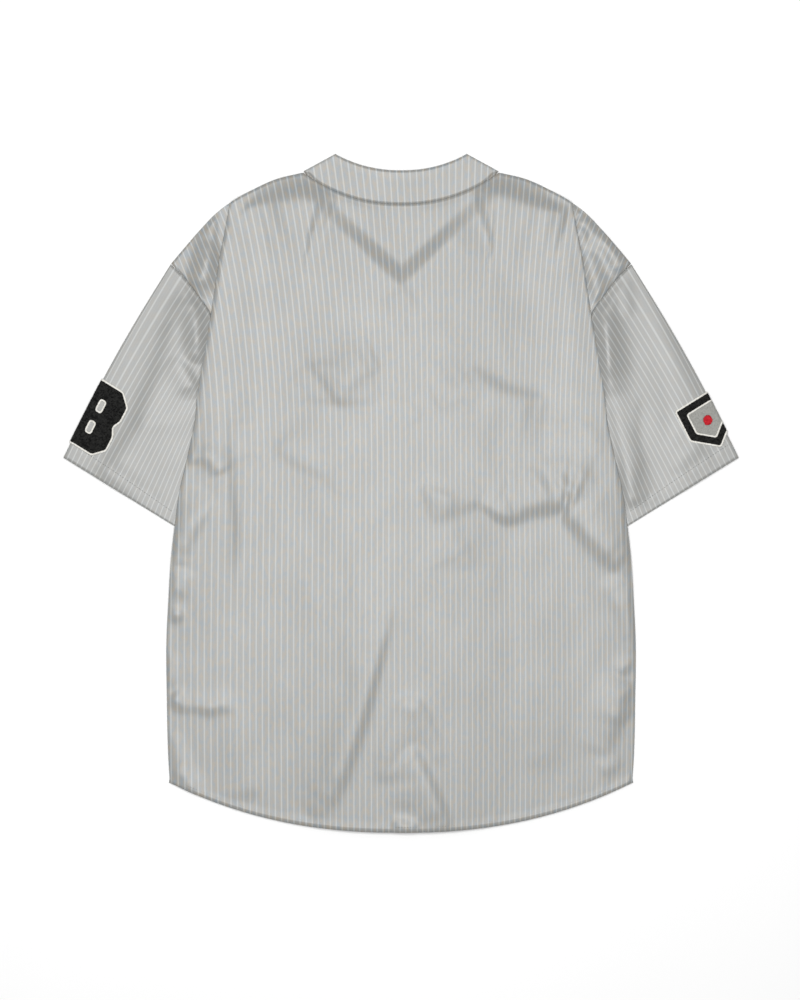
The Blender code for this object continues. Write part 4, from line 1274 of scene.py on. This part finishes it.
def thread_material(name, colour):
    """Twisted sewing thread, made once."""
    if name in bpy.data.materials:
        return bpy.data.materials[name]
    material, tree, shader = new_material(name)
    place = tree.nodes.new("ShaderNodeTexCoord")
    twist = add_noise(tree, place.outputs["Object"], 2600.0, 1.0)
    shade = mix_colour(tree, twist, tuple(0.82 * part for part in colour) + (1.0,), colour + (1.0,))
    tree.links.new(shade, shader.inputs["Base Color"])
    tree.links.new(add_bump(tree, twist, 0.0001, 0.5), shader.inputs["Normal"])
    shader.inputs["Roughness"].default_value = 0.5
    return material


class JerseySettings(bpy.types.PropertyGroup):
    """Cloth, stripe and finish of the jersey."""

    crease_scale: bpy.props.FloatProperty(
        name="Crease height", description="Share of the folds' measured height", default=1.0)
    stripe_pitch: bpy.props.FloatProperty(
        name="Stripe pitch", description="Distance between stripes in millimetres", default=6.3)
    stripe_width: bpy.props.FloatProperty(
        name="Stripe width", description="Share of the pitch that a stripe fills", default=0.22,
        subtype="FACTOR")
    ground_cool: bpy.props.FloatVectorProperty(
        name="Cool ground", description="Cooler tint of the cloth",
        default=(0.255, 0.284, 0.304), subtype="COLOR")
    ground_warm: bpy.props.FloatVectorProperty(
        name="Warm ground", description="Warmer tint of the cloth",
        default=(0.322, 0.294, 0.252), subtype="COLOR")
    stripe_cool: bpy.props.FloatVectorProperty(
        name="Cool stripe", description="Cooler tint of the stripes",
        default=(0.385, 0.415, 0.43), subtype="COLOR")
    stripe_warm: bpy.props.FloatVectorProperty(
        name="Warm stripe", description="Warmer tint of the stripes",
        default=(0.43, 0.42, 0.385), subtype="COLOR")
    rib: bpy.props.FloatProperty(
        name="Rib", description="Strength of the faint ribs between stripes", default=0.22,
        subtype="FACTOR")
    gloss: bpy.props.FloatProperty(
        name="Gloss", description="Strength of the satin's reflection", default=0.46,
        subtype="FACTOR")
    gloss_roughness: bpy.props.FloatProperty(
        name="Gloss roughness", description="Spread of the satin's reflection", default=0.33,
        subtype="FACTOR")


class JerseyStageSettings(bpy.types.PropertyGroup):
    """Camera, light and floor."""

    view_height: bpy.props.FloatProperty(
        name="View height", description="Height of the framed area", default=1.16,
        unit="LENGTH")
    view_x: bpy.props.FloatProperty(
        name="View x", description="Middle of the framed area", default=-0.0012, unit="LENGTH")
    view_y: bpy.props.FloatProperty(
        name="View y", description="Middle of the framed area", default=-0.0081, unit="LENGTH")
    camera_height: bpy.props.FloatProperty(
        name="Camera height", description="Distance above the floor", default=6.0,
        unit="LENGTH")
    key_size: bpy.props.FloatProperty(
        name="Key size", description="Side of the overhead light", default=1.4, unit="LENGTH")
    key_height: bpy.props.FloatProperty(
        name="Key height", description="Height of the overhead light", default=2.6,
        unit="LENGTH")
    key_x: bpy.props.FloatProperty(
        name="Key x", description="Place of the overhead light", default=-0.06, unit="LENGTH")
    key_y: bpy.props.FloatProperty(
        name="Key y", description="Place of the overhead light", default=0.16, unit="LENGTH")
    key_power: bpy.props.FloatProperty(
        name="Key power", description="Power of the overhead light", default=58.0,
        unit="POWER")
    side_power: bpy.props.FloatProperty(
        name="Side power", description="Power of the low light that models the folds",
        default=5.0, unit="POWER")
    fill: bpy.props.FloatProperty(
        name="Fill", description="Strength of the even surrounding light", default=0.36)


def settings_of(context):
    """The jersey's settings in a context."""
    return context.scene.jersey


def hem_stitch_line(settings):
    """Points of the hem's stitch line on the back."""
    x = np.linspace(-262.0, 262.0, 340)
    y = hem_y(x) + BODY_HEM - 0.8
    z = back_level(x, y, HEM_CORNER_Y + BODY_HEM) + settings.crease_scale * body_folds(x, y)
    z = z + CLOTH / 2
    return np.stack([x, y, z], axis=1)


def sleeve_stitch_line(rows, side):
    """Points of a sleeve hem's stitch line, outside the body's fold."""
    place = (1.0 - SLEEVE_HEM / SLEEVE_LENGTH) * (len(rows) - 1)
    ring = rows[int(place)] * (1 - place % 1) + rows[int(place) + 1] * (place % 1)
    ring = ring if side > 0 else ring[::-1]
    upper = ring[:59, :3].copy()
    shown = np.abs(upper[:, 0]) > side_at(SIDE_FOLD, upper[:, 1]) + 1.0
    upper[:, 2] += CLOTH / 2
    return upper[shown]


class JERSEY_OT_back(bpy.types.Operator):
    """Build the back panel with its folds and hem stitches"""

    bl_idname = "jersey.back"
    bl_label = "Jersey Back"

    def execute(self, context):
        settings = settings_of(context)
        rows = [back_row(y, settings) for y in rows_of(BODY_SPANS + (PLEAT_SPAN,))]
        back = add_sheet("back", rows, "back_panel", settings)
        mesh = stitch_mesh("back_hem_stitches", [hem_stitch_line(settings)])
        stitches = bpy.data.objects.new("back_hem_stitches", mesh)
        show(stitches, thread_material("thread_with_painted_shade", THREAD_WITH_PAINTED_SHADE))
        stitches.parent = back
        return {"FINISHED"}


class JERSEY_OT_fronts(bpy.types.Operator):
    """Build the two front panels that lie on the floor"""

    bl_idname = "jersey.fronts"
    bl_label = "Jersey Fronts"

    def execute(self, context):
        settings = settings_of(context)
        for name, side, rise in (("front_left", -1.0, OUTER_FRONT_RISE),
                                 ("front_right", 1.0, UNDER_FRONT_RISE)):
            rows = []
            for y in rows_of(BODY_SPANS)[::2]:
                row = front_row(y, rise, 56, settings)
                row[:, 0] *= side
                rows.append(row if side > 0 else row[::-1])
            add_sheet(name + "_cloth", rows, name, settings)
        return {"FINISHED"}


class JERSEY_OT_sleeves(bpy.types.Operator):
    """Build both sleeves with their hems and stitches"""

    bl_idname = "jersey.sleeves"
    bl_label = "Jersey Sleeves"

    def execute(self, context):
        settings = settings_of(context)
        lines = []
        for name, side, creases in (("sleeve_left", -1.0, LEFT_SLEEVE_FOLDS),
                                    ("sleeve_right", 1.0, RIGHT_SLEEVE_FOLDS)):
            rows = sleeve_rows(side, creases, settings)
            add_sheet(name + "_cloth", rows, name, settings,
                      closed=True, tint=False)
            lines.append(sleeve_stitch_line(rows, side))
        mesh = stitch_mesh("sleeve_hem_stitches", lines)
        stitches = bpy.data.objects.new("sleeve_hem_stitches", mesh)
        show(stitches, thread_material("thread_with_painted_shade", THREAD_WITH_PAINTED_SHADE))
        return {"FINISHED"}


class JERSEY_OT_band(bpy.types.Operator):
    """Build the neck band and its stitches"""

    bl_idname = "jersey.band"
    bl_label = "Jersey Neck Band"

    def execute(self, context):
        settings = settings_of(context)
        rows = band_rows(settings)
        add_sheet("neck_band_cloth", rows, "neck_band", settings)
        share = np.linspace(-STITCH_REACH, STITCH_REACH, STITCH_POINTS)
        tip = fold_line()[0]
        x = share * tip[0] * BAND_EDGE_WIDEN
        y = mix(NECK_EDGE_LOW, tip[1], np.abs(share) ** NECK_POWER) - BAND_STITCH + BAND_EDGE_RISE
        edge = np.stack([x, y, np.full(len(x), ON_FRONT + CLOTH / 2 - BAND_EDGE_SINK)], axis=1)
        x = share * NECK_HALF_WIDTH
        seam = np.stack([x, neck_seam_y(x), np.full(len(x), ON_FRONT + CLOTH / 2 - BAND_SEAM_SINK)], axis=1)
        mesh = stitch_mesh("neck_band_stitches", [edge, seam])
        stitches = bpy.data.objects.new("neck_band_stitches", mesh)
        show(stitches, thread_material("thread_with_painted_shade", THREAD_WITH_PAINTED_SHADE))
        return {"FINISHED"}


class JERSEY_OT_applique(bpy.types.Operator):
    """Build the pile numeral and the pile patch with their corded edges"""

    bl_idname = "jersey.applique"
    bl_label = "Jersey Applique"

    def execute(self, context):
        black = pile_material("black_pile", (0.004, 0.004, 0.004, 1.0), (0.022, 0.022, 0.021, 1.0))
        cream = pile_material("cream_cord", (0.72, 0.7, 0.64, 1.0), (0.86, 0.85, 0.8, 1.0))
        grey = pile_material("grey_felt", (0.3, 0.3, 0.28, 1.0), (0.36, 0.36, 0.34, 1.0))
        red = pile_material("red_pile", (0.42, 0.01, 0.02, 1.0), (0.6, 0.03, 0.04, 1.0))
        pieces = (
            ("numeral", "sleeve_numeral", -1.0, in_numeral, (NUMERAL_WIDTH, NUMERAL_HEIGHT),
             (NUMERAL_LEFT, NUMERAL_BASE), numeral_outlines()),
            ("patch", "sleeve_patch", 1.0, in_border, (2 * PATCH_HALF_WIDTH, PATCH_HEIGHT),
             (PATCH_CENTRE - PATCH_HALF_WIDTH, PATCH_BASE), patch_outlines()),
        )
        for seed, (name, node, side, inside, size, origin, outlines) in enumerate(pieces):
            pile = pile_mesh(name + "_pile", side, inside, size, origin, seed)
            show(bpy.data.objects.new(name + "_pile", pile), black, (node,))
            cord = wrapped_cord(name + "_edge", side, outlines, origin, EDGE_CORD, 0.4)
            show(bpy.data.objects.new(name + "_edge", cord), cream)
        size = (2 * PATCH_HALF_WIDTH, PATCH_HEIGHT)
        origin = (PATCH_CENTRE - PATCH_HALF_WIDTH, PATCH_BASE)
        field = pile_mesh("patch_field", 1.0, in_field, size, origin, FIELD_SEED)
        show(bpy.data.objects.new("patch_field", field), grey)
        dot = pile_mesh("patch_dot", 1.0, in_dot, size, origin, DOT_SEED)
        show(bpy.data.objects.new("patch_dot", dot), red)
        return {"FINISHED"}


class JERSEY_OT_buttons(bpy.types.Operator):
    """Give the four-holed buttons under the closure a grey resin finish"""

    bl_idname = "jersey.buttons"
    bl_label = "Jersey Buttons"

    def execute(self, context):
        resin, tree, shader = new_material("grey_resin")
        place = tree.nodes.new("ShaderNodeTexCoord")
        cloud = add_noise(tree, place.outputs["Object"], 260.0, 2.0)
        shade = mix_colour(tree, cloud, (0.36, 0.37, 0.36, 1.0), (0.52, 0.53, 0.51, 1.0))
        tree.links.new(shade, shader.inputs["Base Color"])
        shader.inputs["Roughness"].default_value = 0.28
        for name, node in sorted(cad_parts.items()):
            if name.startswith("button_"):
                node.data.materials.clear()
                node.data.materials.append(resin)
        return {"FINISHED"}


class JERSEY_OT_stage(bpy.types.Operator):
    """Set the pale floor, the soft lights and the camera"""

    bl_idname = "jersey.stage"
    bl_label = "Jersey Stage"

    def execute(self, context):
        stage = context.scene.jersey_stage
        bpy.ops.mesh.primitive_plane_add(size=12.0, location=(0.0, 0.0, -0.0003))
        floor = context.object
        floor.name = "floor"
        material, tree, shader = new_material("pale_floor")
        place = tree.nodes.new("ShaderNodeTexCoord")
        grain = add_noise(tree, place.outputs["Object"], 3.0, 2.0)
        shade = mix_colour(tree, grain, (0.93, 0.93, 0.93, 1.0), (0.95, 0.95, 0.95, 1.0))
        tree.links.new(shade, shader.inputs["Base Color"])
        shader.inputs["Roughness"].default_value = 0.9
        shader.inputs["Specular IOR Level"].default_value = 0.0
        floor.data.materials.append(material)
        world = bpy.data.worlds.new("studio")
        world.use_nodes = True
        world.node_tree.nodes["Background"].inputs["Color"].default_value = (1.0, 1.0, 1.0, 1.0)
        world.node_tree.nodes["Background"].inputs["Strength"].default_value = stage.fill
        context.scene.world = world
        self.add_light(context, "key", stage.key_power, stage.key_size,
                       (stage.key_x, stage.key_y, stage.key_height), (0.0, 0.0, 0.0))
        self.add_light(context, "side", stage.side_power, 0.9, (-2.2, 1.6, 1.1),
                       (math.radians(68.0), 0.0, math.radians(234.0)))
        lens = bpy.data.cameras.new("camera")
        camera = bpy.data.objects.new("camera", lens)
        context.scene.collection.objects.link(camera)
        camera.location = (stage.view_x, stage.view_y, stage.camera_height)
        lens.sensor_width = 36.0
        lens.lens = lens.sensor_width * stage.camera_height / stage.view_height
        lens.dof.use_dof = False
        context.scene.camera = camera
        context.scene.view_settings.view_transform = "Standard"
        return {"FINISHED"}

    def add_light(self, context, name, power, size, place, turned):
        """Add one soft square light."""
        light = bpy.data.lights.new(name, "AREA")
        light.energy = power
        light.size = size
        lamp = bpy.data.objects.new(name, light)
        lamp.location = place
        lamp.rotation_euler = turned
        lamp.visible_camera = False
        context.scene.collection.objects.link(lamp)


class JERSEY_PT_panel(bpy.types.Panel):
    """Sidebar panel of the jersey"""

    bl_label = "Jersey"
    bl_idname = "JERSEY_PT_panel"
    bl_space_type = "VIEW_3D"
    bl_region_type = "UI"
    bl_category = "Jersey"

    def draw(self, context):
        layout = self.layout
        for settings in (context.scene.jersey, context.scene.jersey_stage):
            for name in settings.__annotations__:
                layout.prop(settings, name)
        for operator in OPERATORS:
            layout.operator(operator.bl_idname)


OPERATORS = (JERSEY_OT_stage, JERSEY_OT_back, JERSEY_OT_fronts, JERSEY_OT_sleeves,
             JERSEY_OT_band, JERSEY_OT_applique, JERSEY_OT_buttons)
CLASSES = (JerseySettings, JerseyStageSettings) + OPERATORS + (JERSEY_PT_panel,)


def register():
    """Register the settings, operators and panel."""
    for item in CLASSES:
        bpy.utils.register_class(item)
    bpy.types.Scene.jersey = bpy.props.PointerProperty(type=JerseySettings)
    bpy.types.Scene.jersey_stage = bpy.props.PointerProperty(type=JerseyStageSettings)


def unregister():
    """Remove what register added."""
    del bpy.types.Scene.jersey_stage
    del bpy.types.Scene.jersey
    for item in reversed(CLASSES):
        bpy.utils.unregister_class(item)


def main():
    """Build the jersey and its stage."""
    register()
    bpy.ops.jersey.stage()
    bpy.ops.jersey.back()
    bpy.ops.jersey.fronts()
    bpy.ops.jersey.sleeves()
    bpy.ops.jersey.band()
    bpy.ops.jersey.applique()
    bpy.ops.jersey.buttons()


if __name__ == "__main__":
    main()
